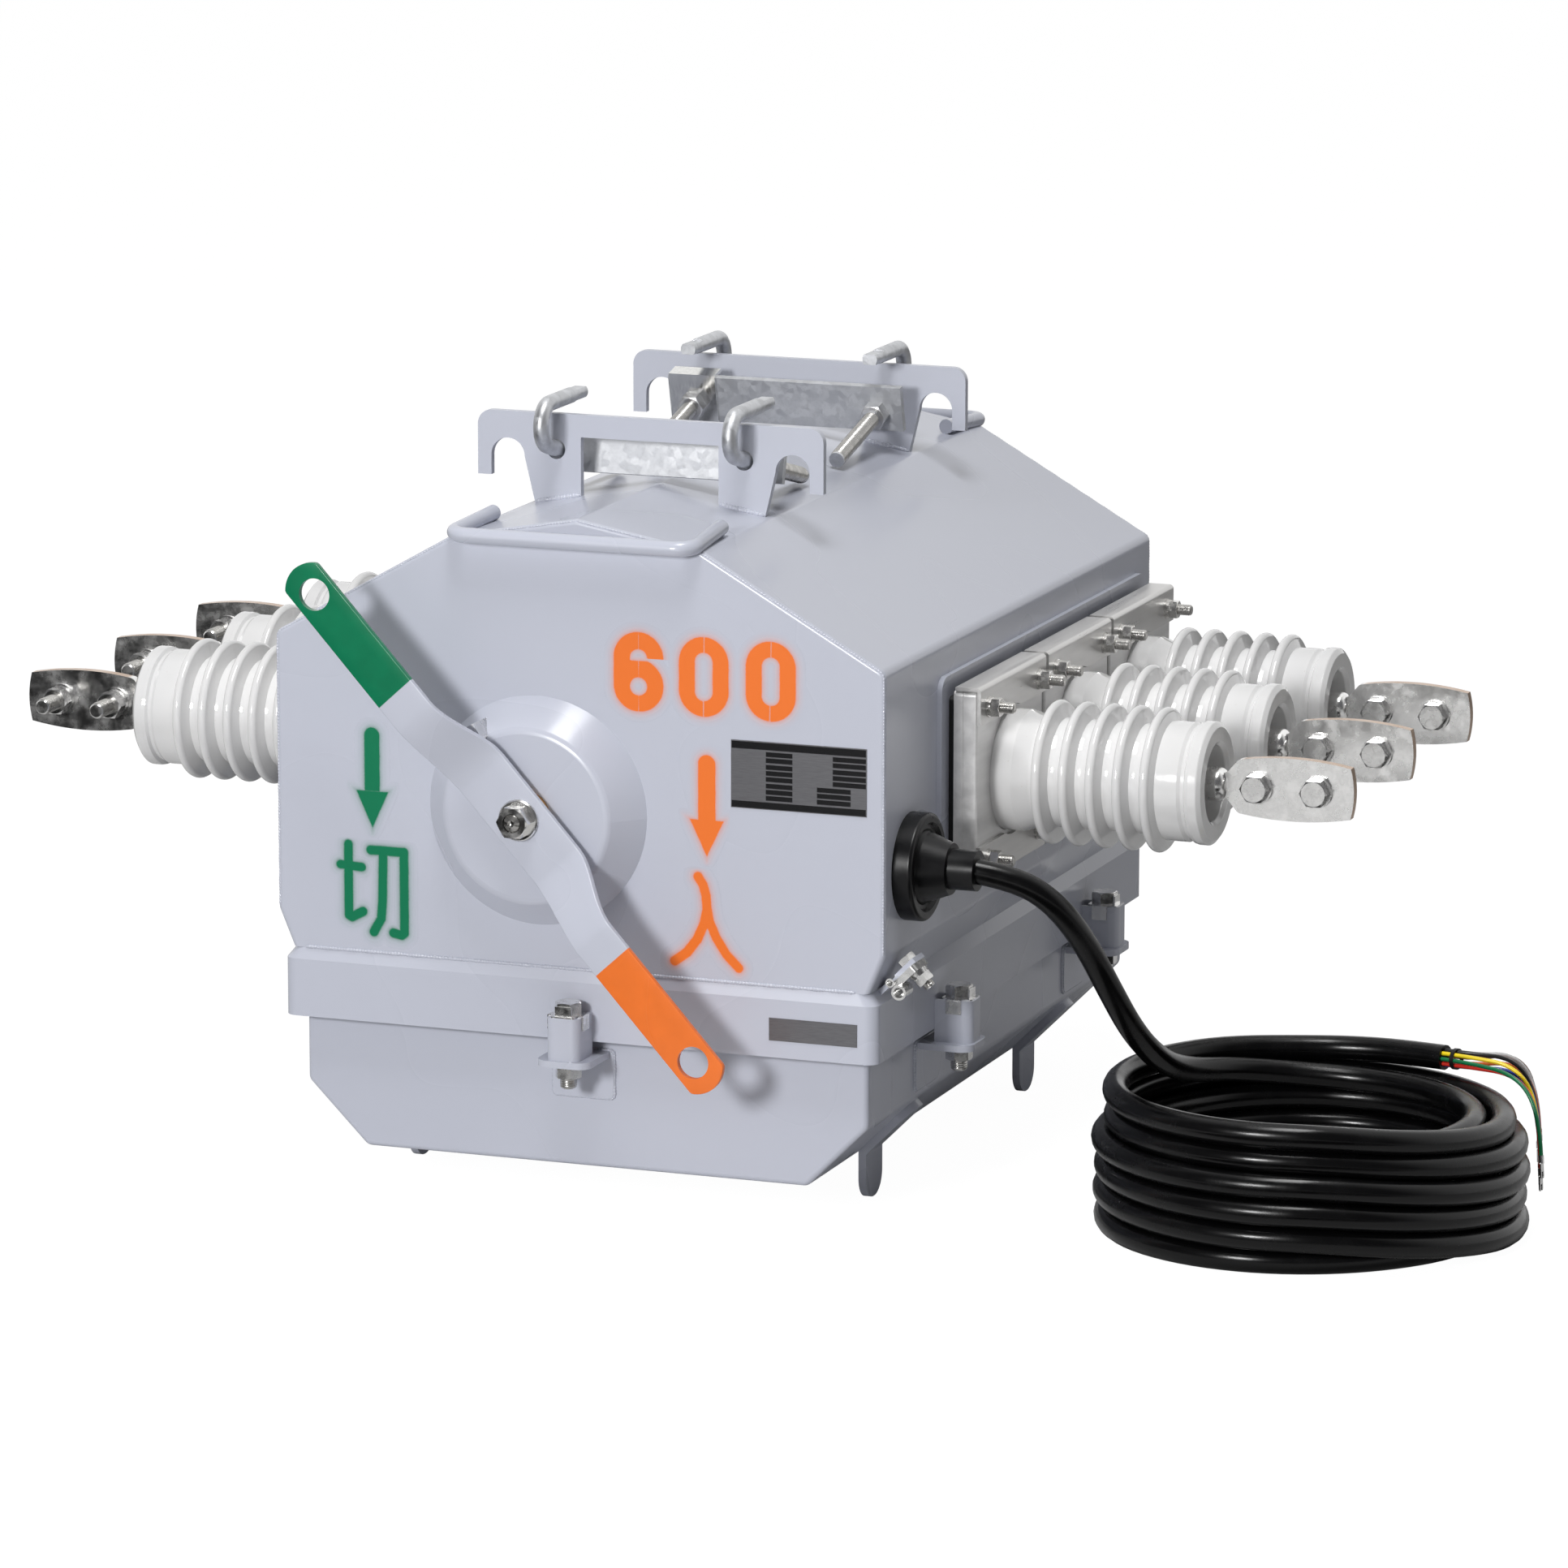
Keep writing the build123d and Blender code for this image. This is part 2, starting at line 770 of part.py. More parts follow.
# Lid clamps: each is drawn with the skirt's face at x = 0 and its bolt further out along X
side_clamps = [
    Location((skirt_half_width, case_y - clamp_y, 0)),
    Location((skirt_half_width, case_y + clamp_y, 0)),
    Location((-skirt_half_width, case_y - clamp_y, 0), (0, 0, 180)),
    Location((-skirt_half_width, case_y + clamp_y, 0), (0, 0, 180)),
]
end_clamps = [
    Location((0, case_y - skirt_half_depth, 0), (0, 0, -90)),
    Location((0, case_y + skirt_half_depth, 0), (0, 0, 90)),
]
clamp_places = side_clamps + end_clamps
clamp_reach = clamp_bolt_off + clamp_nose
lug_top_z = clamp_bottom_z
lug_bottom_z = lug_top_z - lug_plate_thickness
tab_top_z = clamp_top_z + tab_thickness


def at_clamps(piece, places=clamp_places):
    """A copy of one clamp's piece at each of the clamps."""
    with BuildPart() as copies:
        with Locations(*places):
            add(piece)
    return copies.part


with BuildPart() as clamp_loop:
    with BuildSketch(Plane.XY.offset(clamp_bottom_z)) as loop_outline:
        with Locations((clamp_reach / 2, 0)):
            Rectangle(clamp_reach, 2 * clamp_half_width)
        fillet(loop_outline.vertices().group_by(Axis.X)[-1], radius=clamp_corner)
        with BuildSketch(Plane.XY.offset(clamp_bottom_z), mode=Mode.SUBTRACT) as loop_inside:
            with Locations(((clamp_reach - clamp_strap) / 2, 0)):
                Rectangle(clamp_reach - clamp_strap, 2 * (clamp_half_width - clamp_strap))
            fillet(loop_inside.vertices().group_by(Axis.X)[-1], radius=clamp_corner - clamp_strap)
    extrude(amount=clamp_top_z - clamp_bottom_z)
save("clamp_loops", at_clamps(clamp_loop.part))


def tank_lug(gap):
    """A lug plate with its bolt hole, and the pad that spreads it on the tank's wall behind."""
    with BuildPart() as lug:
        with BuildSketch(Plane.XY.offset(lug_bottom_z)) as plate:
            length = gap + clamp_bolt_off + lug_plate_past_axis
            with Locations((length / 2 - gap, 0)):
                Rectangle(length, 2 * lug_plate_half_width)
            fillet(plate.vertices().group_by(Axis.X)[-1], radius=lug_plate_half_width / 2)
            with Locations((clamp_bolt_off, 0)):
                Circle(clamp_hole_r, mode=Mode.SUBTRACT)
        extrude(amount=lug_plate_thickness)
        with BuildSketch(Plane(origin=(-gap, 0, 0), x_dir=(0, 1, 0), z_dir=(1, 0, 0))):
            with Locations((0, lug_top_z - lug_pad_height / 2)):
                RectangleRounded(2 * lug_pad_half_width, lug_pad_height, lug_pad_corner)
        extrude(amount=lug_pad_thickness)
    return lug.part


with BuildPart() as tank_lugs:
    add(at_clamps(tank_lug(skirt_half_width - tank_half_width), side_clamps))
    add(at_clamps(tank_lug(skirt_half_depth - tank_half_depth), end_clamps))
save("tank_lugs", tank_lugs.part)

with BuildPart() as tab_washer:
    with BuildSketch(Plane(origin=(clamp_bolt_off - tab_half_width, 0, 0), x_dir=(0, 1, 0), z_dir=(1, 0, 0))):
        with BuildLine():
            half = clamp_half_width + tab_side_gap
            tab_end_z = clamp_top_z - tab_drop
            Polyline((-half, tab_end_z), (-half, clamp_top_z), (half, clamp_top_z), (half, tab_end_z))
            offset(amount=tab_thickness, side=Side.LEFT)
        make_face()
    extrude(amount=2 * tab_half_width)
    with BuildSketch(Plane.XY.offset(clamp_top_z)):
        with Locations((clamp_bolt_off + tab_plate_shift, 0)):
            RectangleRounded(tab_plate_length, tab_plate_width, tab_plate_corner)
    extrude(amount=tab_thickness)
    with BuildSketch(Plane.XY.offset(tab_top_z)):
        with Locations((clamp_bolt_off + clamp_head_af / 2 + tab_head_gap, 0)):
            Rectangle(tab_thickness, tab_lock_width)
    extrude(amount=tab_lock_height)
    with BuildSketch(Plane.XY.offset(clamp_top_z)):
        with Locations((clamp_bolt_off, 0)):
            Circle(clamp_thread_r + tab_bolt_clearance)
    extrude(amount=tab_thickness, mode=Mode.SUBTRACT)
save("tab_washers", at_clamps(tab_washer.part))

with BuildPart() as clamp_bolt:
    with Locations(Location((clamp_bolt_off, 0, tab_top_z), (0, 0, 30))):
        add(hex_of(clamp_head_af, clamp_head_height))
    with BuildSketch(Plane.XY.offset(clamp_thread_end_z)):
        with Locations((clamp_bolt_off, 0)):
            Circle(clamp_thread_r)
    extrude(amount=tab_top_z - clamp_thread_end_z)
    chamfer(clamp_bolt.faces().sort_by(Axis.Z)[0].edges(), length=thread_chamfer)
save("clamp_bolts", at_clamps(clamp_bolt.part))

with BuildPart() as clamp_nut:
    with Locations(Location((clamp_bolt_off, 0, lug_bottom_z), (180, 0, 30))):
        add(hex_of(clamp_head_af, clamp_nut_height, clamp_thread_r))
save("clamp_nuts", at_clamps(clamp_nut.part))


# Operating lever and its shaft
lever_turn = radians(lever_angle)
lever_face = Plane(
    origin=(pivot_x, case_y, pivot_z),
    x_dir=(cos(lever_turn), 0, sin(lever_turn)),
    z_dir=(0, -1, 0),
)
lever_edge = Plane(
    origin=(pivot_x, case_y, pivot_z),
    x_dir=(cos(lever_turn), 0, sin(lever_turn)),
    z_dir=(sin(lever_turn), 0, -cos(lever_turn)),
)


def pivot_plane(reach):
    """An upright plane in front of the case, with its origin on the lever's axis."""
    return Plane(origin=(pivot_x, case_y - reach, pivot_z), x_dir=(1, 0, 0), z_dir=(0, -1, 0))


def rotor_plane(reach):
    """An upright plane across the case, with its origin on the rotor's axis."""
    return Plane(origin=(rotor_x, case_y - reach, bushing_z), x_dir=(1, 0, 0), z_dir=(0, -1, 0))


with BuildPart() as lever:
    with BuildSketch(lever_edge):
        with BuildLine():
            lever_end = lever_hole_reach + lever_end_past_hole
            FilletPolyline(
                (-lever_end, lever_back_y + lever_rise),
                (-lever_rise_end, lever_back_y + lever_rise),
                (-lever_hub_flat, lever_back_y),
                (lever_hub_flat, lever_back_y),
                (lever_rise_end, lever_back_y + lever_rise),
                (lever_end, lever_back_y + lever_rise),
                radius=lever_bend_radius,
            )
            offset(amount=lever_thickness, side=Side.LEFT)
        make_face()
    extrude(amount=lever_hub_half_width, both=True)
    with BuildSketch(lever_face) as lever_outline:
        with BuildLine():
            corner = lever_hole_reach + sqrt(lever_end_radius**2 - lever_arm_half_width**2)
            corner += lever_end_past_hole - lever_end_radius
            for way in (1, -1):
                ThreePointArc(
                    (way * corner, -lever_arm_half_width),
                    (way * lever_end, 0),
                    (way * corner, lever_arm_half_width),
                )
                Polyline(
                    (corner, way * lever_arm_half_width),
                    (lever_rise_end, way * lever_arm_half_width),
                    (lever_hub_flat, way * lever_hub_half_width),
                    (-lever_hub_flat, way * lever_hub_half_width),
                    (-lever_rise_end, way * lever_arm_half_width),
                    (-corner, way * lever_arm_half_width),
                )
        make_face()
        bends = [v for v in lever_outline.vertices() if abs(v.X) < lever_rise_end + cut_past]
        fillet(bends, radius=lever_waist_radius)
        with Locations((-lever_hole_reach, 0), (lever_hole_reach, 0)):
            Circle(lever_hole_r, mode=Mode.SUBTRACT)
        Rectangle(lever_square, lever_square, mode=Mode.SUBTRACT)
    extrude(amount=lever_front_y + lever_thickness, mode=Mode.INTERSECT)
save("operating_lever", lever.part)

with BuildPart() as shaft_bush:
    with BuildSketch(pivot_plane(lid_half_depth + dish_height)):
        Circle(bush_flange_r)
        Circle(shaft_r + shaft_clearance, mode=Mode.SUBTRACT)
    extrude(amount=bush_flange_height)
    chamfer(shaft_bush.faces().sort_by(Axis.Y)[0].edges(), length=thread_chamfer)
    with BuildSketch(pivot_plane(lid_half_depth)):
        Circle(bush_body_r)
        Circle(shaft_r + shaft_clearance, mode=Mode.SUBTRACT)
    extrude(amount=dish_height)
save("shaft_bush", shaft_bush.part)

with BuildPart() as stop_block:
    turn = radians(stop_angle)
    block_place = Plane(
        origin=(pivot_x + stop_reach * cos(turn), case_y - lid_half_depth, pivot_z + stop_reach * sin(turn)),
        x_dir=(cos(turn), 0, sin(turn)),
        z_dir=(0, -1, 0),
    )
    with BuildSketch(block_place):
        RectangleRounded(stop_size, stop_thickness, stop_corner)
    extrude(amount=dish_height + stop_height)
    add(dish_form(0), mode=Mode.SUBTRACT)
save("stop_block", stop_block.part)

link_front = handle_crank_y - layer_gap
link_back = link_front - crank_thickness
rotor_crank_front = link_back - layer_gap
pin_at = (crank_length * cos(radians(crank_angle)), crank_length * sin(radians(crank_angle)))

with BuildPart() as operating_shaft:
    with BuildSketch(pivot_plane(handle_crank_y)):
        Circle(crank_boss_r)
        with Locations(pin_at):
            Circle(crank_eye_r)
        make_hull()
    extrude(amount=crank_thickness)
    with BuildSketch(pivot_plane(handle_crank_y)):
        Circle(shaft_r)
    extrude(amount=lever_back_y - handle_crank_y)
    with BuildSketch(pivot_plane(lever_back_y)):
        Rectangle(lever_square - lever_square_gap, lever_square - lever_square_gap, rotation=lever_angle)
    extrude(amount=lever_thickness - lever_square_gap)
    with BuildSketch(pivot_plane(lever_back_y)):
        Circle(lever_stud_r)
    extrude(amount=lever_thickness + lever_nut_height - lever_stud_below_nut)
    chamfer(operating_shaft.faces().sort_by(Axis.Y)[0].edges(), length=thread_chamfer)
    with BuildSketch(pivot_plane(link_back)):
        with Locations(pin_at):
            Circle(crank_pin_r)
    extrude(amount=handle_crank_y - link_back)
save("operating_shaft", operating_shaft.part)

with BuildPart() as lever_nut:
    with Locations(Location(pivot_plane(lever_hub_front_y))):
        add(ring_of(lever_nut_flange_r, lever_stud_r, lever_nut_flange))
        add(hex_of(lever_nut_af, lever_nut_height, lever_stud_r))
    round_edges = lever_nut.edges().filter_by(GeomType.CIRCLE)
    flange_edges = round_edges.filter_by(lambda edge: abs(edge.radius - lever_nut_flange_r) < 0.01)
    chamfer(flange_edges.sort_by(Axis.Y)[0], length=thread_chamfer)
save("lever_nut", lever_nut.part)

with BuildPart() as drive_link:
    with BuildSketch(pivot_plane(link_back)):
        rotor_pin_at = (pin_at[0] + rotor_x - pivot_x, pin_at[1] + bushing_z - pivot_z)
        with Locations(pin_at, rotor_pin_at):
            Circle(crank_eye_r)
        make_hull()
        with Locations(pin_at):
            Circle(crank_pin_r + crank_pin_clearance, mode=Mode.SUBTRACT)
        with Locations(rotor_pin_at):
            Circle(crank_pin_r + open_pivot_clearance, mode=Mode.SUBTRACT)
    extrude(amount=crank_thickness)
save("drive_link", drive_link.part)


# Rotor, its blades and what they meet
with BuildPart() as rotor:
    with BuildSketch(rotor_plane(-rotor_back_y)):
        Circle(rotor_shaft_r)
    extrude(amount=rotor_back_y + rotor_crank_front)
    for y in phases:
        with BuildSketch(rotor_plane(-y - rotor_hub_length / 2)):
            Circle(rotor_hub_r)
        extrude(amount=rotor_hub_length)
    for way in (1, -1):
        inner_face = way * (bearing_y - bearing_gap) - (bearing_collar_length if way > 0 else 0)
        with BuildSketch(rotor_plane(inner_face)):
            Circle(bearing_collar_r)
        extrude(amount=bearing_collar_length)
    with BuildSketch(rotor_plane(rotor_crank_front - crank_thickness)):
        Circle(crank_boss_r)
        with Locations(pin_at):
            Circle(crank_eye_r)
        make_hull()
    extrude(amount=crank_thickness)
    with BuildSketch(rotor_plane(rotor_crank_front)):
        with Locations(pin_at):
            Circle(crank_pin_r)
    extrude(amount=link_front - rotor_crank_front)
    for y in phases:
        with BuildSketch(rotor_plane(-y - blade_thickness / 2)):
            Rectangle(2 * (rotor_hub_r + cut_past), 2 * blade_half_height)
        extrude(amount=blade_thickness, mode=Mode.SUBTRACT)
save("rotor", rotor.part)

with BuildPart() as moving_blades:
    for y in phases:
        with BuildSketch(rotor_plane(-y - blade_thickness / 2)):
            with BuildLine():
                for way in (1, -1):
                    Polyline(
                        (-blade_reach - cut_past, way * blade_tip_half_height),
                        (-rotor_hub_r - blade_hub_margin, way * blade_half_height),
                        (rotor_hub_r + blade_hub_margin, way * blade_half_height),
                        (blade_reach + cut_past, way * blade_tip_half_height),
                    )
                for way in (1, -1):
                    Line(
                        (way * (blade_reach + cut_past), -blade_tip_half_height),
                        (way * (blade_reach + cut_past), blade_tip_half_height),
                    )
            make_face()
            Circle(blade_reach, mode=Mode.INTERSECT)
        extrude(amount=blade_thickness)
save("moving_blades", moving_blades.part)

with BuildPart() as fixed_contacts:
    for side in sides.values():
        for y in phases:
            jaw_floor = (0, case_y + y, bushing_z - jaw_half_height)
            with BuildSketch(Plane(origin=jaw_floor, x_dir=(side, 0, 0), z_dir=(0, 0, 1))):
                with Locations(((jaw_back_x + jaw_end_x) / 2, 0)):
                    Rectangle(jaw_end_x - jaw_back_x, 2 * jaw_block_half_depth)
                finger_y = blade_thickness / 2 + jaw_gap + jaw_finger / 2
                with Locations(*[((jaw_inner_x + jaw_back_x) / 2, way * finger_y) for way in (1, -1)]):
                    Rectangle(jaw_back_x - jaw_inner_x, jaw_finger)
            extrude(amount=2 * jaw_half_height)
    upright_edges = fixed_contacts.edges().filter_by(Axis.Z)
    fillet([edge for edge in upright_edges if abs(edge.center().X) < jaw_inner_x + cut_past], radius=jaw_lip)
save("fixed_contacts", fixed_contacts.part)

with BuildPart() as arc_chutes:
    for side in sides.values():
        for y in phases:
            for way in (1, -1):
                wall_face = -y + way * jaw_block_half_depth - (chute_wall if way < 0 else 0)
                with BuildSketch(rotor_plane(wall_face)):
                    with BuildLine():
                        start = chute_from + (180 if side < 0 else 0)
                        span = chute_to - chute_from
                        outer = CenterArc((0, 0), chute_outer_r, start, span)
                        inner = CenterArc((0, 0), chute_inner_r, start, span)
                        Line(outer @ 0, inner @ 0)
                        Line(outer @ 1, inner @ 1)
                    make_face()
                extrude(amount=chute_wall)
            with BuildSketch(rotor_plane(-y - jaw_block_half_depth)):
                for number in range(chute_bar_count):
                    turn = chute_bar_first + number * chute_bar_step + (180 if side < 0 else 0)
                    middle = (chute_bar_inner_r + chute_bar_outer_r) / 2
                    with Locations((middle * cos(radians(turn)), middle * sin(radians(turn)))):
                        Rectangle(chute_bar_outer_r - chute_bar_inner_r, chute_bar_thickness, rotation=turn)
            extrude(amount=2 * jaw_block_half_depth)
save("arc_chutes", arc_chutes.part)

with BuildPart() as bearing_hangers:
    for face in (bearing_y, -bearing_y - bearing_thickness):
        with BuildSketch(facing_front(face)):
            drop = steel * sqrt(1 + roof_fall**2) + 0.1
            with BuildLine():
                Polyline(
                    (-bearing_half_width, bushing_z),
                    (-bearing_half_width, roof_z(bearing_half_width) - drop),
                    (0, apex_z - drop),
                    (bearing_half_width, roof_z(bearing_half_width) - drop),
                    (bearing_half_width, bushing_z),
                    close=True,
                )
            make_face()
            with Locations((rotor_x, bushing_z)):
                Circle(bearing_half_width)
                Circle(rotor_shaft_r + shaft_clearance, mode=Mode.SUBTRACT)
        extrude(amount=bearing_thickness)
save("bearing_hangers", bearing_hangers.part)

# A ring core round all three inner barrels on the left, on four feet against the wall
with BuildPart() as current_transformer:
    with BuildSketch(facing_side(-1, ct_inner_x)):
        with Locations((-phase_middle_y, bushing_z)):
            SlotCenterToCenter(2 * phase_pitch, 2 * ct_outer_r)
            SlotCenterToCenter(2 * phase_pitch, 2 * ct_inner_r, mode=Mode.SUBTRACT)
    extrude(amount=ct_depth)
    fillet(current_transformer.faces().sort_by(Axis.X)[-1].edges(), radius=ct_edge)
    with BuildSketch(facing_side(-1, ct_inner_x + ct_depth)):
        with Locations((-phase_middle_y, bushing_z)):
            with GridLocations(2 * phase_pitch, ct_inner_r + ct_outer_r, 2, 2):
                Circle(ct_foot_r)
    extrude(amount=lid_half_width - steel - ct_inner_x - ct_depth)
save("current_transformer", current_transformer.part)


# Bushings and the flanges that hold them
def bushing(side, y):
    """A porcelain bushing: inner barrel, clamped collar, sheds, end ring and recess round the conductor."""
    ring_start = end_ring_x - end_ring_half
    end_x = end_ring_x + end_ring_half
    with BuildPart() as porcelain:
        with BuildSketch(along_phase(side, y)) as profile:
            with BuildLine():
                Polyline(
                    (porcelain_inner_x, porcelain_bore_r),
                    (porcelain_inner_x, porcelain_inner_r),
                    (back_plate_x, porcelain_inner_r),
                    (back_plate_x, collar_r),
                    (front_plate_x, collar_r),
                    (front_plate_x, porcelain_base_r),
                    (first_shed_x - shed_pitch, porcelain_base_r),
                    (first_shed_x - shed_half_root - base_taper_gap, porcelain_core_r),
                    (first_shed_x - shed_half_root, porcelain_core_r),
                )
                for number in range(shed_count):
                    x = first_shed_x + number * shed_pitch
                    last = number == shed_count - 1
                    root = end_cylinder_r if last else porcelain_core_r
                    shoulder = shed_r - shed_tip_round
                    Line((x - shed_half_root, porcelain_core_r), (x - shed_half_tip, shoulder))
                    ThreePointArc((x - shed_half_tip, shoulder), (x, shed_r), (x + shed_half_tip, shoulder))
                    Line((x + shed_half_tip, shoulder), (x + shed_half_root, root))
                    if not last:
                        ThreePointArc(
                            (x + shed_half_root, root),
                            (x + shed_pitch / 2, porcelain_core_r - root_dip),
                            (x + shed_pitch - shed_half_root, root),
                        )
                Polyline(
                    (x + shed_half_root, end_cylinder_r),
                    (ring_start - groove_start, end_cylinder_r),
                    (ring_start - groove_taper_end, end_groove_r),
                    (ring_start, end_groove_r),
                    (ring_start + ring_lead, end_ring_r - ring_lead_drop),
                    (ring_start + ring_flat_start, end_ring_r),
                    (end_x - ring_bevel_along, end_ring_r),
                    (end_x, end_ring_r - ring_bevel_in),
                    (end_x, recess_r + recess_lip),
                    (end_x - recess_lip, recess_r),
                    (end_x - recess_depth, recess_r),
                    (end_x - recess_depth, porcelain_bore_r),
                    (porcelain_inner_x, porcelain_bore_r),
                )
            make_face()
            far_corners = [v for v in profile.vertices() if v.X > ring_start + ring_flat_start - cut_past]
            fillet([v for v in far_corners if v.Y > recess_r - cut_past], radius=ring_rounding)
        revolve(axis=Axis((0, case_y + y, bushing_z), (1, 0, 0)))
    return porcelain.part


def stud_spots(side, y):
    """Where the four studs stand round one bushing, in the side's own plane."""
    half = stud_pitch / 2
    return [(side * y + across, bushing_z + up) for across in (-half, half) for up in (-half, half)]


def flange_plate(side, y, size, bore, reach, thickness, edge):
    """A rounded plate with a round opening and four stud holes, its outer edge rounded over if asked."""
    with BuildPart() as plate:
        with BuildSketch(facing_side(side, reach)):
            with Locations((side * y, bushing_z)):
                RectangleRounded(*size, plate_corner)
                Circle(bore, mode=Mode.SUBTRACT)
            with Locations(*stud_spots(side, y)):
                Circle(stud_hole_r, mode=Mode.SUBTRACT)
        extrude(amount=thickness)
        if edge:
            fillet(plate.faces().sort_by(Axis((0, 0, 0), (side, 0, 0)))[-1].outer_wire().edges(), radius=edge)
    return plate.part


def flange_layer(size, bore, reach, thickness, edge=0.0):
    """The same layer of all six flanges."""
    with BuildPart() as layer:
        for side in sides.values():
            for y in phases:
                add(flange_plate(side, y, size, bore, reach, thickness, edge))
    return layer.part


def phase_strip(side, y, up):
    """A folded strip along the top or the bottom of one flange, cut away round the porcelain."""
    with BuildPart() as strip:
        edge = up * plate_height / 2
        with BuildSketch(along_phase(side, y)):
            with BuildLine():
                FilletPolyline(
                    (strip_x - strip_return, edge),
                    (strip_x, edge),
                    (strip_x, edge - up * (strip_face - strip_thickness)),
                    radius=strip_fold_radius,
                )
                offset(amount=strip_thickness, side=Side.LEFT if up > 0 else Side.RIGHT)
            make_face()
        extrude(amount=plate_width / 2, both=True)
        with BuildSketch(facing_side(side, strip_x)):
            with Locations((side * y, bushing_z)):
                Circle(porcelain_base_r + strip_notch_gap)
            with Locations(*stud_spots(side, y)):
                Circle(stud_hole_r)
        extrude(amount=strip_thickness, mode=Mode.SUBTRACT)
    return strip.part


def at_studs(piece, reach):
    """A copy of a piece, drawn along Z, at each of the flanges' studs."""
    with BuildPart() as copies:
        for side in sides.values():
            for y in phases:
                spots = [Location((across, up, 0)) for across, up in stud_spots(side, y)]
                with Locations(*[Location(facing_side(side, reach)) * spot for spot in spots]):
                    add(piece)
    return copies.part


for name, side in sides.items():
    for number, y in enumerate(phases, 1):
        save(f"bushing_{name}_{number}", bushing(side, y))
plate_size = (plate_width, plate_height)
seal_size = (plate_width - 2 * seal_inset, plate_height - 2 * seal_inset)
back_bore = collar_r + ring_clearance
front_bore = porcelain_base_r + ring_clearance
back_plates = flange_layer(plate_size, back_bore, back_plate_x, back_plate_thickness, back_edge_radius)
front_plates = flange_layer(plate_size, front_bore, front_plate_x, front_plate_thickness, plate_edge_radius)
save("bushing_seals", flange_layer(seal_size, wall_hole_r, face_x, seal_thickness))
save("flange_back_plates", back_plates)
save("flange_front_plates", front_plates)
with BuildPart() as retaining_strips:
    for side in sides.values():
        for y in phases:
            for up in (1, -1):
                add(phase_strip(side, y, up))
save("retaining_strips", retaining_strips.part)

with BuildPart() as stud:
    Cylinder(stud_r, stud_tip_x - face_x, align=(Align.CENTER, Align.CENTER, Align.MIN))
    chamfer(stud.faces().sort_by(Axis.Z)[-1].edges(), length=stud_chamfer)
save("flange_studs", at_studs(stud.part, face_x))
with BuildPart() as stud_washers:
    add(ring_of(stud_washer_r, stud_hole_r, stud_washer))
    add(ring_of(stud_spring_r, stud_hole_r, stud_spring, stud_washer))
save("flange_washers", at_studs(stud_washers.part, strip_face_x))
stud_nut_x = strip_face_x + stud_washer + stud_spring
save("flange_nuts", at_studs(hex_of(stud_nut_af, stud_nut_height, stud_r), stud_nut_x))


# Terminals
def terminal(side, y):
    """A conductor with a round neck that is flattened into a barrel-shaped palm with two bolt holes."""
    middle_x = (neck_x + palm_end_x) / 2
    corner_x = palm_end_x - palm_end_bow
    with BuildPart() as conductor:
        root = (side * jaw_end_x, case_y + y, bushing_z)
        with BuildSketch(Plane(origin=root, x_dir=(0, side, 0), z_dir=(side, 0, 0))):
            Circle(conductor_r)
        extrude(amount=neck_x - jaw_end_x)
        fillet(conductor.faces().sort_by(Axis((0, 0, 0), (side, 0, 0)))[-1].edges(), radius=conductor_nose)
        with BuildSketch(along_phase(side, y)) as palm:
            with BuildLine():
                for up in (1, -1):
                    Polyline(
                        (neck_x - neck_flare, up * neck_half),
                        (neck_x, up * neck_half),
                        (neck_x + neck_flare, up * palm_root_half),
                    )
                    ThreePointArc(
                        (neck_x + neck_flare, up * palm_root_half),
                        (middle_x, up * palm_half_height),
                        (corner_x, up * palm_end_half),
                    )
                Line((neck_x - neck_flare, -neck_half), (neck_x - neck_flare, neck_half))
                ThreePointArc((corner_x, -palm_end_half), (palm_end_x, 0), (corner_x, palm_end_half))
            make_face()
            waist = [v for v in palm.vertices() if neck_x - cut_past < v.X < neck_x + neck_flare + cut_past]
            fillet(waist, radius=neck_fillet)
            with Locations(*[(x, 0) for x in terminal_bolt_x]):
                Circle(terminal_hole_r, mode=Mode.SUBTRACT)
        extrude(amount=palm_thickness / 2, both=True)
    return conductor.part


def at_terminal_bolts(piece, offset_y, flip):
    """A copy of a piece, drawn along Z, on each terminal bolt, on its head's or its nut's side."""
    with BuildPart() as copies:
        for side in sides.values():
            for y in phases:
                for x in terminal_bolt_x:
                    way = -1 if flip else 1
                    place = Plane(
                        origin=(side * x, case_y + y - side * way * offset_y, bushing_z),
                        x_dir=(1, 0, 0),
                        z_dir=(0, -side * way, 0),
                    )
                    with Locations(Location(place)):
                        add(piece)
    return copies.part


for name, side in sides.items():
    for number, y in enumerate(phases, 1):
        save(f"terminal_{name}_{number}", terminal(side, y))
palm_face = palm_thickness / 2
head_seat = palm_face + terminal_washer
nut_seat = palm_face + terminal_washer + terminal_spring
with BuildPart() as terminal_bolt:
    add(hex_of(terminal_head_af, terminal_head_height))
    with BuildSketch(Plane.XY):
        Circle(terminal_bolt_r)
    extrude(amount=-(head_seat + terminal_bolt_tip))
    chamfer(terminal_bolt.faces().sort_by(Axis.Z)[0].edges(), length=terminal_chamfer)
save("terminal_bolts", at_terminal_bolts(terminal_bolt.part, head_seat, False))
terminal_nut = hex_of(terminal_head_af, terminal_nut_height, terminal_bolt_r)
save("terminal_nuts", at_terminal_bolts(terminal_nut, nut_seat, True))
washer = ring_of(terminal_washer_r, terminal_hole_r, terminal_washer)
with BuildPart() as terminal_washers:
    add(at_terminal_bolts(washer, palm_face, False))
    add(at_terminal_bolts(washer, palm_face, True))
    spring = ring_of(terminal_spring_r, terminal_hole_r, terminal_spring, terminal_washer)
    add(at_terminal_bolts(spring, palm_face, True))
save("terminal_washers", terminal_washers.part)


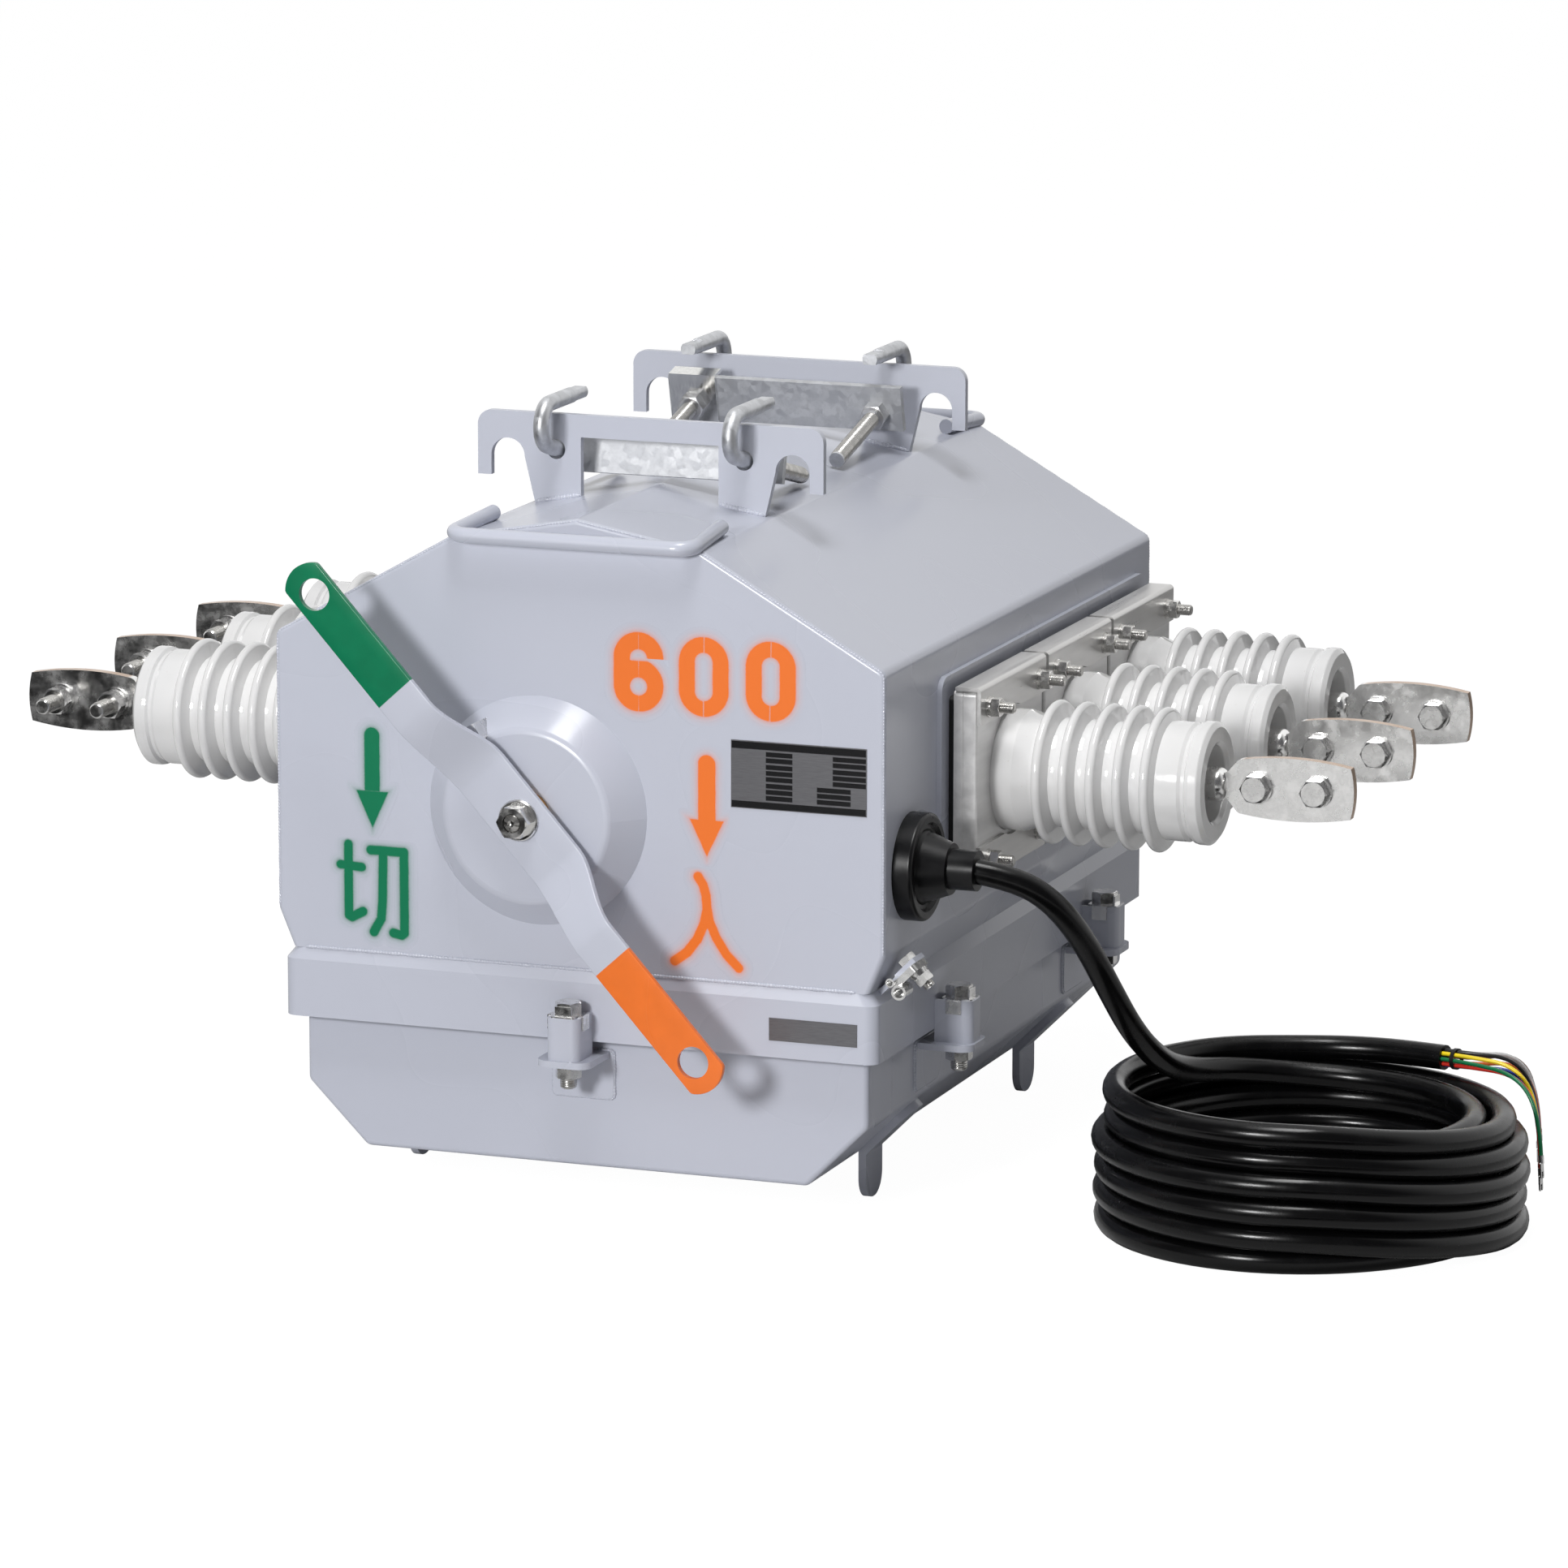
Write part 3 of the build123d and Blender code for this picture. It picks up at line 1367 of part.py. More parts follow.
# Hanger plates, J bolts and bars on the roof
case_middle = Plane(origin=(0, case_y, 0), x_dir=(1, 0, 0), z_dir=(0, 1, 0))
droop = radians(hook_droop)


def shank_z(y):
    """Height of a J bolt's straight shank at a distance from the case's middle."""
    return hook_z + (y - hanger_inner_y - hanger_thickness / 2) * tan(droop)


def hanger_plate(reach):
    """A plate on two feet, with a window between them, a hook slot at each end and two bolt holes."""
    with BuildPart() as plate:
        with BuildSketch(facing_front(reach)) as outline:
            with BuildLine():
                for way in (1, -1):
                    Polyline(
                        (0, hanger_top_z),
                        (way * hanger_half_width, hanger_top_z),
                        (way * hanger_half_width, hanger_prong_z),
                        (way * (notch_centre_x + notch_r), hanger_prong_z),
                        (way * (notch_centre_x + notch_r), notch_centre_z),
                    )
                    ThreePointArc(
                        (way * (notch_centre_x + notch_r), notch_centre_z),
                        (way * notch_centre_x, notch_centre_z + notch_r),
                        (way * (notch_centre_x - notch_r), notch_centre_z),
                    )
                    Polyline(
                        (way * (notch_centre_x - notch_r), notch_centre_z),
                        (way * hanger_leg_outer_x, roof_z(hanger_leg_outer_x)),
                        (way * hanger_leg_inner_x, roof_z(hanger_leg_inner_x)),
                        (way * hanger_leg_inner_x, hanger_window_z),
                        (0, hanger_window_z),
                    )
            make_face()
            corners = outline.vertices()
            top_corners = [v for v in corners.group_by(Axis.Y)[-1] if abs(v.X) > hanger_half_width - cut_past]
            fillet(top_corners, hanger_corner)
            prongs = [v for v in corners if v.Y < hanger_prong_z + cut_past and abs(v.X) > notch_centre_x]
            fillet(prongs, hanger_prong_round)
            at_window = [v for v in corners if abs(v.Y - hanger_window_z) < cut_past]
            fillet([v for v in at_window if abs(v.X) > hanger_leg_inner_x - cut_past], hanger_window_corner)
            with Locations((-hook_x, hook_z), (hook_x, hook_z)):
                Circle(hook_hole_r, mode=Mode.SUBTRACT)
        extrude(amount=hanger_thickness)
    return plate.part


save("hanger_plate_front", hanger_plate(hanger_inner_y))
save("hanger_plate_rear", hanger_plate(-hanger_inner_y - hanger_thickness))

hook_tangent_y = hook_outer_y + hook_bend * sin(droop)
hook_top_z = shank_z(hook_tangent_y) + hook_bend * (1 + cos(droop))


def front_hook(x):
    """A J bolt: a drooping shank, a bend outside the plate and a tip, hammered flat, back over its top."""
    with BuildPart() as hook:
        with BuildLine(upright_cut(x)) as hook_path:
            Line((hook_shank_end_y, shank_z(hook_shank_end_y)), (hook_tangent_y, shank_z(hook_tangent_y)))
            ThreePointArc(
                (hook_tangent_y, shank_z(hook_tangent_y)),
                (hook_outer_y + hook_bend, hook_top_z - hook_bend),
                (hook_outer_y, hook_top_z),
            )
            Line((hook_outer_y, hook_top_z), (hook_tip_y, hook_top_z))
        with BuildSketch(Plane(origin=hook_path.line @ 0, z_dir=hook_path.line % 0)):
            Circle(hook_r)
        sweep()
        with BuildSketch(upright_cut(x)):
            for up in (1, -1):
                off_axis = up * (hook_flat + hook_r) / 2
                with Locations((hook_tip_y + hook_flat_length / 2, hook_top_z + off_axis)):
                    Rectangle(hook_flat_length, hook_r)
        extrude(amount=2 * hook_r, both=True, mode=Mode.SUBTRACT)
    return hook.part


with BuildPart() as front_hooks:
    add(front_hook(-hook_x))
    add(front_hook(hook_x))
with BuildPart() as hook_bolts:
    add(front_hooks.part)
    mirror(front_hooks.part, about=case_middle)
save("hook_bolts", hook_bolts.part)

bar_plane = Plane(
    origin=(0, case_y - bar_y, shank_z(bar_y)),
    x_dir=(1, 0, 0),
    z_dir=(0, -cos(droop), sin(droop)),
)
bar_inner_plane = Plane(origin=bar_plane.origin, x_dir=(1, 0, 0), z_dir=(0, cos(droop), -sin(droop)))
with BuildPart() as front_bar:
    with BuildSketch(bar_plane):
        with Locations((0, bar_lift)):
            Rectangle(bar_length, bar_height)
        with Locations((-hook_x, 0), (hook_x, 0)):
            Circle(bar_hole_r, mode=Mode.SUBTRACT)
    extrude(amount=bar_thickness / 2, both=True)
with BuildPart() as clamp_bars:
    add(front_bar.part)
    mirror(front_bar.part, about=case_middle)
save("clamp_bars", clamp_bars.part)

# The saddle is a strip folded over the top of the back bar's left end
with BuildPart() as saddle_blank:
    saddle_end = bar_plane.origin + Vector(-hook_x - saddle_width / 2, 0, 0)
    with BuildSketch(Plane(origin=saddle_end, x_dir=(0, -cos(droop), sin(droop)), z_dir=(-1, 0, 0))):
        with BuildLine():
            bar_top = bar_lift + bar_height / 2
            face = -bar_thickness / 2
            Polyline(
                (face, bar_lift - bar_height / 2),
                (face, bar_top),
                (face + saddle_lip, bar_top),
                (face + saddle_lip, bar_top + saddle_thickness),
                (face - saddle_thickness, bar_top + saddle_thickness),
                (face - saddle_thickness, bar_lift - bar_height / 2),
                close=True,
            )
        make_face()
    extrude(amount=-saddle_width)
    with BuildSketch(bar_inner_plane):
        with Locations((-hook_x, 0)):
            Circle(bar_hole_r)
    extrude(amount=bar_thickness + saddle_thickness, mode=Mode.SUBTRACT)
with BuildPart() as bar_saddle:
    mirror(saddle_blank.part, about=case_middle)
save("bar_saddle", bar_saddle.part)


def hook_nuts_with(left_packing):
    """Two nuts on each of one bar's bolts, one on each face, the left inner one clear of its packing."""
    with BuildPart() as nuts:
        for x in (-hook_x, hook_x):
            packing = left_packing if x < 0 else 0
            seats = ((bar_plane, bar_thickness / 2), (bar_inner_plane, bar_thickness / 2 + packing))
            for plane, off in seats:
                with Locations(Location(plane) * Location((x, 0, off))):
                    add(hex_of(hook_nut_af, hook_nut_height, hook_r))
    return nuts.part


with BuildPart() as hook_nuts:
    add(hook_nuts_with(0))
    mirror(hook_nuts_with(saddle_thickness), about=case_middle)
save("hook_nuts", hook_nuts.part)

with BuildPart() as front_rod:
    with BuildLine() as rod_path:
        front_y = case_y - rod_reach_y
        leg_end_y = case_y - rod_leg_y
        leg_z = roof_z(rod_leg_x) + rod_r
        FilletPolyline(
            (-rod_leg_x, leg_end_y, leg_z),
            (-rod_half_width, front_y, rod_z),
            (rod_half_width, front_y, rod_z),
            (rod_leg_x, leg_end_y, leg_z),
            radius=rod_bend,
        )
    with BuildSketch(Plane(origin=rod_path.line @ 0, z_dir=rod_path.line % 0)):
        Circle(rod_r)
    sweep()
    add(hood_form(0), mode=Mode.SUBTRACT)
with BuildPart() as carrying_rods:
    add(front_rod.part)
    mirror(front_rod.part, about=case_middle)
save("carrying_rods", carrying_rods.part)


# Cable gland, cable, coil and the loose cores
gland_at = (0, case_y - gland_y, gland_z)
with BuildPart() as gland:
    with BuildSketch(Plane(origin=gland_at, x_dir=(1, 0, 0), z_dir=(0, -1, 0))) as gland_profile:
        with BuildLine():
            rim_x = lid_half_width + gland_rim
            spigot_end_x = lid_half_width - steel - gland_spigot_past
            Polyline(
                (spigot_end_x, 0),
                (spigot_end_x, gland_spigot_r),
                (lid_half_width, gland_spigot_r),
                (lid_half_width, gland_r),
                (rim_x, gland_r),
                (rim_x, gland_r - gland_step),
                (rim_x - gland_groove, gland_r - gland_groove_in),
                (rim_x - gland_groove, gland_nose_r + gland_nose_flare),
                (rim_x, gland_nose_r),
                (gland_nose_x, gland_neck_r + gland_shoulder),
                (gland_nose_x, gland_neck_r),
                (gland_neck_x, gland_neck_r),
                (gland_neck_x, 0),
                close=True,
            )
        make_face()
        rim_corner = gland_profile.vertices().group_by(Axis.Y)[-1].sort_by(Axis.X)[-1]
        fillet(rim_corner, radius=gland_edge)
    revolve(axis=Axis(gland_at, (1, 0, 0)))
save("cable_gland", gland.part)


def tube_along(points, radius):
    """A round tube along straight runs joined by the largest arcs that they have room for."""
    with BuildPart() as tube:
        with BuildLine() as path:
            FilletPolyline(*points, radius=bent_path_radii(points))
        with BuildSketch(Plane(origin=path.line @ 0, z_dir=path.line % 0)):
            Circle(radius)
        sweep()
    return tube.part, path.wire().length


def from_case(point):
    """A point that is written from the case's middle, in the switch's own frame."""
    return (point[0], case_y + point[1], point[2])


cable_points = [from_case((gland_neck_x - cable_in_gland, -gland_y, gland_z))]
cable_points += [from_case(point) for point in cable_route]
cable, cable_length = tube_along(cable_points, cable_r)
save("cable", cable)
tail_points = [from_case(point) for point in tail_route]
tail, tail_length = tube_along(tail_points, cable_r)
save("cable_tail", tail)
for name, points, tube, length in (
    ("cable", cable_points, cable, cable_length),
    ("cable tail", tail_points, tail, tail_length),
):
    print(name, "radii", [round(radius) for radius in bent_path_radii(points)], "length", round(length))
    print(name, "volume over section times length", round(tube.volume / (pi * cable_r**2 * length), 4))

coil_centre = (coil_x, case_y + coil_y, 0)
with BuildPart() as coil:
    with BuildSketch(Plane(origin=coil_centre, x_dir=(1, 0, 0), z_dir=(0, -1, 0))):
        with Locations(((coil_inner_r + coil_outer_r) / 2, coil_height / 2)):
            RectangleRounded(coil_outer_r - coil_inner_r, coil_height, coil_round)
    revolve(axis=Axis(coil_centre, (0, 0, 1)))
save("cable_coil", coil.part)

sheath_end = Vector(*tail_points[-1])
core_heading = (sheath_end - Vector(*tail_points[-2])).normalized()
core_across = core_heading.cross(Vector(0, 0, 1)).normalized()
core_up = core_across.cross(core_heading)
core_turns = [radians(360 * number / core_count) for number in range(core_count)]
core_order = sorted(range(core_count), key=lambda n: (-round(cos(core_turns[n]), 3), sin(core_turns[n])))


def fanned(ends, share, rise):
    """A point part of the way from the first core's to the last one's, raised a little."""
    first = Vector(*from_case(ends[0]))
    last = Vector(*from_case(ends[1]))
    return first + (last - first) * share + Vector(0, 0, rise)


def core_route(number):
    """The route of one core: straight through the tie, over the coil's edge and down."""
    turn = core_turns[number]
    offset_in = core_across * (core_circle_r * cos(turn)) + core_up * (core_circle_r * sin(turn))
    share = core_order.index(number) / (core_count - 1)
    start = sheath_end + offset_in
    tied = sheath_end + core_heading * core_straight + offset_in
    over = fanned(core_over, share, core_over_spread * sin(turn))
    below = fanned(core_below, share, 0)
    tip = fanned(core_tips, share, core_tip_spread * cos(3 * turn))
    return [tuple(point) for point in (start, tied, over, below, tip)]


with BuildPart() as core_wires:
    for number in range(core_count):
        add(tube_along(core_route(number), core_r)[0])
save("core_wires", core_wires.part)


def fork_lug(number):
    """The crimped fork lug on a core's tip: a short barrel and a flat fork."""
    route = core_route(number)
    tip = Vector(*route[-1])
    heading = (tip - Vector(*route[-2])).normalized()
    across = heading.cross(Vector(1, 0, 0)).normalized()
    with BuildPart() as fork:
        with BuildSketch(Plane(origin=tip, x_dir=across, z_dir=heading)):
            Circle(core_r + lug_crimp)
        extrude(amount=lug_barrel)
        fork_start = tip + heading * lug_barrel
        with BuildSketch(Plane(origin=fork_start, x_dir=heading, z_dir=heading.cross(across))):
            with Locations((lug_length / 2 - lug_overlap, 0)):
                RectangleRounded(lug_length, lug_width, lug_corner)
            with Locations((lug_length, 0)):
                Rectangle(lug_length, lug_slot, mode=Mode.SUBTRACT)
        extrude(amount=lug_thickness / 2, both=True)
    return fork.part


with BuildPart() as core_lugs:
    for number in range(core_count):
        add(fork_lug(number))
save("core_lugs", core_lugs.part)

with BuildPart() as core_tie:
    tie_inner = core_circle_r + core_r + tie_clearance
    with BuildSketch(Plane(origin=sheath_end + core_heading * tie_off, z_dir=core_heading)):
        Circle(tie_inner + tie_thickness)
        Circle(tie_inner, mode=Mode.SUBTRACT)
    extrude(amount=tie_width)
save("core_tie", core_tie.part)


# Earth terminal: two crimp lugs of different size, stacked on the lid's tab under one bolt
earth_tab_face = earth_tab_back + earth_tab_thickness
earth_stack = earth_tab_face + earth_small_plate + earth_large_plate
small_lug = (
    earth_tab_face,
    earth_small_plate,
    earth_small_r,
    earth_small_bore,
    earth_small_out,
    earth_small_depth,
)
large_lug = (
    earth_tab_face + earth_small_plate,
    earth_large_plate,
    earth_large_r,
    earth_large_bore,
    earth_large_out,
    earth_large_depth,
)


def earth_barrel_at(out):
    """The mouth of an earth lug's barrel, which opens to the front."""
    mouth = earth_plane(out).from_local_coords((-earth_barrel_down, earth_barrel_mouth, 0))
    return Plane(origin=mouth, x_dir=(1, 0, 0), z_dir=(0, -1, 0))


def earth_lug(seat, thickness, outer, bore, out, depth):
    """A crimp lug: a bolted plate with a barrel along its lower edge, bored from the front."""
    with BuildPart() as lug:
        with BuildSketch(earth_plane(seat)):
            plate_front = earth_barrel_mouth - earth_barrel_past_plate
            plate_width_up = earth_tab_rise + outer
            plate_length = plate_front + earth_plate_half_width
            with Locations(((earth_tab_rise - outer) / 2, (plate_front - earth_plate_half_width) / 2)):
                RectangleRounded(plate_width_up, plate_length, earth_plate_corner)
            with Locations((earth_bolt_up, 0)):
                Circle(earth_bolt_r + earth_hole_clearance, mode=Mode.SUBTRACT)
        extrude(amount=thickness)
        with BuildSketch(earth_barrel_at(out)):
            Circle(outer)
        extrude(amount=-(depth + earth_barrel_bottom))
        with BuildSketch(earth_barrel_at(out)):
            Circle(bore)
        extrude(amount=-depth, mode=Mode.SUBTRACT)
    return lug.part


with BuildPart() as earth_lugs:
    add(earth_lug(*small_lug))
    add(earth_lug(*large_lug))
save("earth_lugs", earth_lugs.part)

with BuildPart() as earth_bolt:
    with Locations(Location(earth_plane(earth_tab_back)) * Location((earth_bolt_up, 0, 0), (180, 0, 0))):
        add(hex_of(stud_nut_af, earth_head_height))
    with BuildSketch(earth_plane(earth_tab_back)):
        with Locations((earth_bolt_up, 0)):
            Circle(earth_bolt_r)
    extrude(amount=earth_bolt_end - earth_tab_back)
with BuildPart() as earth_fasteners:
    add(earth_bolt.part)
    with Locations(Location(earth_plane(earth_stack)) * Location((earth_bolt_up, 0, 0))):
        add(ring_of(stud_washer_r, earth_bolt_r + earth_hole_clearance, stud_washer))
        add(ring_of(stud_spring_r, earth_bolt_r + earth_hole_clearance, stud_spring, stud_washer))
        add(hex_of(stud_nut_af, stud_nut_height, earth_bolt_r, stud_washer + stud_spring))
save("earth_fasteners", earth_fasteners.part)
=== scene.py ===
import math

import bmesh
import bpy
import numpy as np
from mathutils import Matrix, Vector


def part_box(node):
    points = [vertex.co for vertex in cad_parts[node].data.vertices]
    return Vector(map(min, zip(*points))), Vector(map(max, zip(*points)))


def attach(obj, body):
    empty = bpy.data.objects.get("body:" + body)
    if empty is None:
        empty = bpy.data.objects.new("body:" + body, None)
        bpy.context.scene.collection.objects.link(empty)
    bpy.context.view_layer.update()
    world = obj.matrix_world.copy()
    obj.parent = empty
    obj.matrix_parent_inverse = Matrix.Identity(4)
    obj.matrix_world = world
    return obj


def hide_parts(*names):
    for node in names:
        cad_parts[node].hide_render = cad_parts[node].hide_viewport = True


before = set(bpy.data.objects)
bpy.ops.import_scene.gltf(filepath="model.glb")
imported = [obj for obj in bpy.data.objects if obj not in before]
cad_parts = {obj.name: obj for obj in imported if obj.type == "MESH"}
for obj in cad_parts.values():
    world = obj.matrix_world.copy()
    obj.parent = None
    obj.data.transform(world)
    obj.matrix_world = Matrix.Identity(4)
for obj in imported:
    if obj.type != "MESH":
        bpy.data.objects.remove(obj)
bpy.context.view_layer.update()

bl_info = {
    "name": "Pole air switch",
    "version": (1, 0, 0),
    "blender": (4, 5, 0),
    "location": "View3D > Sidebar > Air switch",
    "description": "Dresses the packed pole air switch with paint, glaze, cable, marks, plates, threads and welds",
    "category": "Object",
}

# Places in the solids, in metres: the middle of the case's depth, its front behind the raised dish, the skirt's
# front, the bushings' axes and their studs' distance from them, and the lever's pivot as X and Z
CASE_Y = 0.017
FRONT_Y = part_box("lid")[0].y + 0.025
SKIRT_Y = CASE_Y - 0.313
BUSHING_Z = 0.320
PHASES_Y = (-0.0955, 0.0605, 0.2165)
STUD_REACH = 0.0575
PIVOT = (-0.0305, 0.3045)
LEVER_ANGLE = math.radians(132.2)
# From the pivot along the lever to where its end colours start, and over how much they fade in
BAND_REACH = 0.1258
BAND_FADE = 0.0005

# The view's width in pixels, and how many of them its optical middle lies aside
VIEW_PIXELS = 1932
SHIFT_PIXELS = 2

# Millimetres in a metre
MM = 1000
# Points round a turned end, hole or floor, round a bead and round a thread
ROUND_STEPS = 48
BEAD_STEPS = 10
THREAD_STEPS = 28


# Sizes and colours that a user would change


class PaintSettings(bpy.types.PropertyGroup):
    """Colours of the paints and the glaze, as linear light."""

    case_color: bpy.props.FloatVectorProperty(
        name="Case paint", description="Grey gloss paint of the case", subtype="COLOR", size=3,
        min=0, max=1, default=(0.485, 0.503, 0.578))
    on_color: bpy.props.FloatVectorProperty(
        name="On colour", description="Orange of the lever's lower end and the marks beside it", subtype="COLOR",
        size=3, min=0, max=1, default=(0.80, 0.168, 0.020))
    off_color: bpy.props.FloatVectorProperty(
        name="Off colour", description="Green of the lever's upper end and the marks beside it", subtype="COLOR",
        size=3, min=0, max=1, default=(0.0015, 0.175, 0.077))
    glaze_color: bpy.props.FloatVectorProperty(
        name="Porcelain glaze", description="White glaze of the bushings", subtype="COLOR", size=3,
        min=0, max=1, default=(0.71, 0.707, 0.705))


class CableSettings(bpy.types.PropertyGroup):
    """The control cable and the coil that it is wound in."""

    diameter: bpy.props.FloatProperty(
        name="Cable diameter", description="Outer diameter of the sheath", unit="LENGTH", default=0.019)
    coil_middle: bpy.props.FloatVectorProperty(
        name="Coil middle", description="Middle of the coil on the floor", subtype="XYZ", unit="LENGTH", size=3,
        default=(0.5176, -0.1325, 0.0))
    turn_points: bpy.props.IntProperty(
        name="Points a turn", description="Control points in each turn of the coil", min=12, max=24, default=16)
    entry_angle: bpy.props.FloatProperty(
        name="Entry angle", description="Where on the coil the cable comes down", subtype="ANGLE",
        default=math.radians(155.2))
    core_diameter: bpy.props.FloatProperty(
        name="Core diameter", description="Diameter of an insulated core", unit="LENGTH", default=0.0031)


class LeverSettings(bpy.types.PropertyGroup):
    """The cranked operating lever."""

    reach: bpy.props.FloatProperty(
        name="Reach", description="From the pivot to an end", unit="LENGTH", default=0.244)
    thickness: bpy.props.FloatProperty(
        name="Thickness", description="Thickness of the bar", unit="LENGTH", default=0.005)
    edge_radius: bpy.props.FloatProperty(
        name="Edge radius", description="Radius of the bar's worn edges", unit="LENGTH", default=0.0009)
    rise: bpy.props.FloatProperty(
        name="Rise", description="How far the arms stand out from the hub", unit="LENGTH", default=0.0305)
    bend_start: bpy.props.FloatProperty(
        name="Bend start", description="From the pivot to where the bar leaves the hub", unit="LENGTH",
        default=0.042)
    bend_end: bpy.props.FloatProperty(
        name="Bend end", description="From the pivot to where the arm is straight", unit="LENGTH", default=0.106)
    hub_reach: bpy.props.FloatProperty(
        name="Hub reach", description="From the pivot to where the width starts to fall", unit="LENGTH",
        default=0.040)
    waist_length: bpy.props.FloatProperty(
        name="Waist length", description="Over which the width falls to the arm's", unit="LENGTH", default=0.062)
    hub_half_width: bpy.props.FloatProperty(
        name="Hub half width", description="Half the width at the hub", unit="LENGTH", default=0.0225)
    arm_half_width: bpy.props.FloatProperty(
        name="Arm half width", description="Half the width of an arm", unit="LENGTH", default=0.017)
    end_radius: bpy.props.FloatProperty(
        name="End radius", description="Radius of the rounded ends", unit="LENGTH", default=0.022)
    hole_reach: bpy.props.FloatProperty(
        name="Hole reach", description="From the pivot to a hole", unit="LENGTH", default=0.220)
    hole_radius: bpy.props.FloatProperty(
        name="Hole radius", description="Radius of the holes in the ends", unit="LENGTH", default=0.012)


class MarkSettings(bpy.types.PropertyGroup):
    """The sprayed marks on the case's front."""

    cell: bpy.props.FloatProperty(
        name="Cell", description="Side of a cell of a mark's grid", unit="LENGTH", default=0.00055)
    stand_off: bpy.props.FloatProperty(
        name="Paint thickness", description="How far the sprayed paint stands off the case", unit="LENGTH",
        default=0.00007)
    overspray: bpy.props.FloatProperty(
        name="Overspray", description="Strength of the faint spray round each mark", min=0, max=1, default=0.46)


class DetailSettings(bpy.types.PropertyGroup):
    """Threads and weld beads."""

    thread_depth: bpy.props.FloatProperty(
        name="Thread depth", description="Height of a thread over its root", unit="LENGTH", default=0.0004)
    bead_radius: bpy.props.FloatProperty(
        name="Weld bead", description="Radius of a weld bead", unit="LENGTH", default=0.0021)
    bead_ripple: bpy.props.FloatProperty(
        name="Bead ripple", description="Length of one ripple of a weld bead", unit="LENGTH", default=0.0024)


class StageSettings(bpy.types.PropertyGroup):
    """Camera and lights."""

    yaw: bpy.props.FloatProperty(
        name="Camera yaw", description="Turn of the camera to the right of the front", subtype="ANGLE",
        default=math.radians(20.46))
    pitch: bpy.props.FloatProperty(
        name="Camera pitch", description="How far the camera looks down", subtype="ANGLE",
        default=math.radians(11.61))
    roll: bpy.props.FloatProperty(
        name="Camera roll", description="Turn about the line of sight", subtype="ANGLE",
        default=math.radians(0.06))
    target: bpy.props.FloatVectorProperty(
        name="Target", description="Point that the camera looks at", subtype="XYZ", unit="LENGTH", size=3,
        default=(0.0402, 0.0310, 0.2671))
    distance: bpy.props.FloatProperty(
        name="Distance", description="From the target to the camera", unit="LENGTH", default=6.332)
    lens: bpy.props.FloatProperty(
        name="Lens", description="Focal length", unit="CAMERA", default=189.07)
    key_power: bpy.props.FloatProperty(
        name="Key light", description="Power of the soft light at the left", unit="POWER", default=116.0)
    top_power: bpy.props.FloatProperty(
        name="Top light", description="Power of the soft light overhead", unit="POWER", default=60.0)
    ambient: bpy.props.FloatProperty(
        name="Room light", description="Strength of the light from all round", min=0, max=1, default=0.20)


# Surfaces: grids of points worked out as whole arrays


def grid_faces(rows, columns, wrap_rows, wrap_columns):
    """Quads of a grid: each joins a point, its neighbour along, the one across from that, and the one across."""
    down = np.arange(rows if wrap_rows else rows - 1)
    along = np.arange(columns if wrap_columns else columns - 1)
    down, along = np.meshgrid(down, along, indexing="ij")
    next_down, next_along = (down + 1) % rows, (along + 1) % columns
    corners = [
        down * columns + along, down * columns + next_along,
        next_down * columns + next_along, next_down * columns + along,
    ]
    return np.stack(corners, -1).reshape(-1, 4)


def enclosed(points, faces):
    """Signed volume inside closed quads: the sum of each triangle's corner product over six."""
    a, b, c, d = (points[faces[:, corner]] for corner in range(4))
    return (np.einsum("ij,ij->i", a, np.cross(b, c)) + np.einsum("ij,ij->i", a, np.cross(c, d))).sum() / 6


def linked(name, data):
    """An object that holds some data, in the scene."""
    made = bpy.data.objects.new(name, data)
    bpy.context.scene.collection.objects.link(made)
    return made


def set_axes(thing, right, up, back, place):
    """Turns a camera or lamp to its right, up and backward directions, and places it."""
    rows = [[right[row], up[row], back[row], place[row]] for row in range(3)]
    thing.matrix_world = Matrix(rows + [[0, 0, 0, 1]])


def piece_of(name, sheets, body, finish, wrap_rows=True, smooth=True):
    """Joins grids of points, closed along their rows, into one piece that rides on a body. Grids are turned to
    face outwards, and the points that meet at a pole are merged."""
    points, faces, start = [], [], 0
    for sheet in sheets:
        rows, columns = sheet.shape[:2]
        flat = sheet.reshape(-1, 3)
        quads = grid_faces(rows, columns, wrap_rows, True)
        if enclosed(flat, quads) < 0:
            quads = quads[:, ::-1]
        points.append(flat)
        faces.append(quads + start)
        start += len(flat)
    mesh = bpy.data.meshes.new(name)
    mesh.from_pydata(np.concatenate(points).tolist(), [], np.concatenate(faces).tolist())
    mesh.polygons.foreach_set("use_smooth", np.full(len(mesh.polygons), smooth))
    if not wrap_rows:
        merged = bmesh.new()
        merged.from_mesh(mesh)
        bmesh.ops.remove_doubles(merged, verts=merged.verts, dist=0.000001)
        merged.to_mesh(mesh)
        merged.free()
    mesh.update()
    piece = linked(name, mesh)
    mesh.materials.append(finish)
    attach(piece, body)
    return piece


def frame_along(direction):
    """A direction of length one and two more across it, from its cross product with the least aligned axis."""
    direction = np.asarray(direction, float) / np.linalg.norm(direction)
    helper = np.eye(3)[np.argmin(np.abs(direction))]
    across = np.cross(direction, helper)
    across /= np.linalg.norm(across)
    return direction, across, np.cross(direction, across)


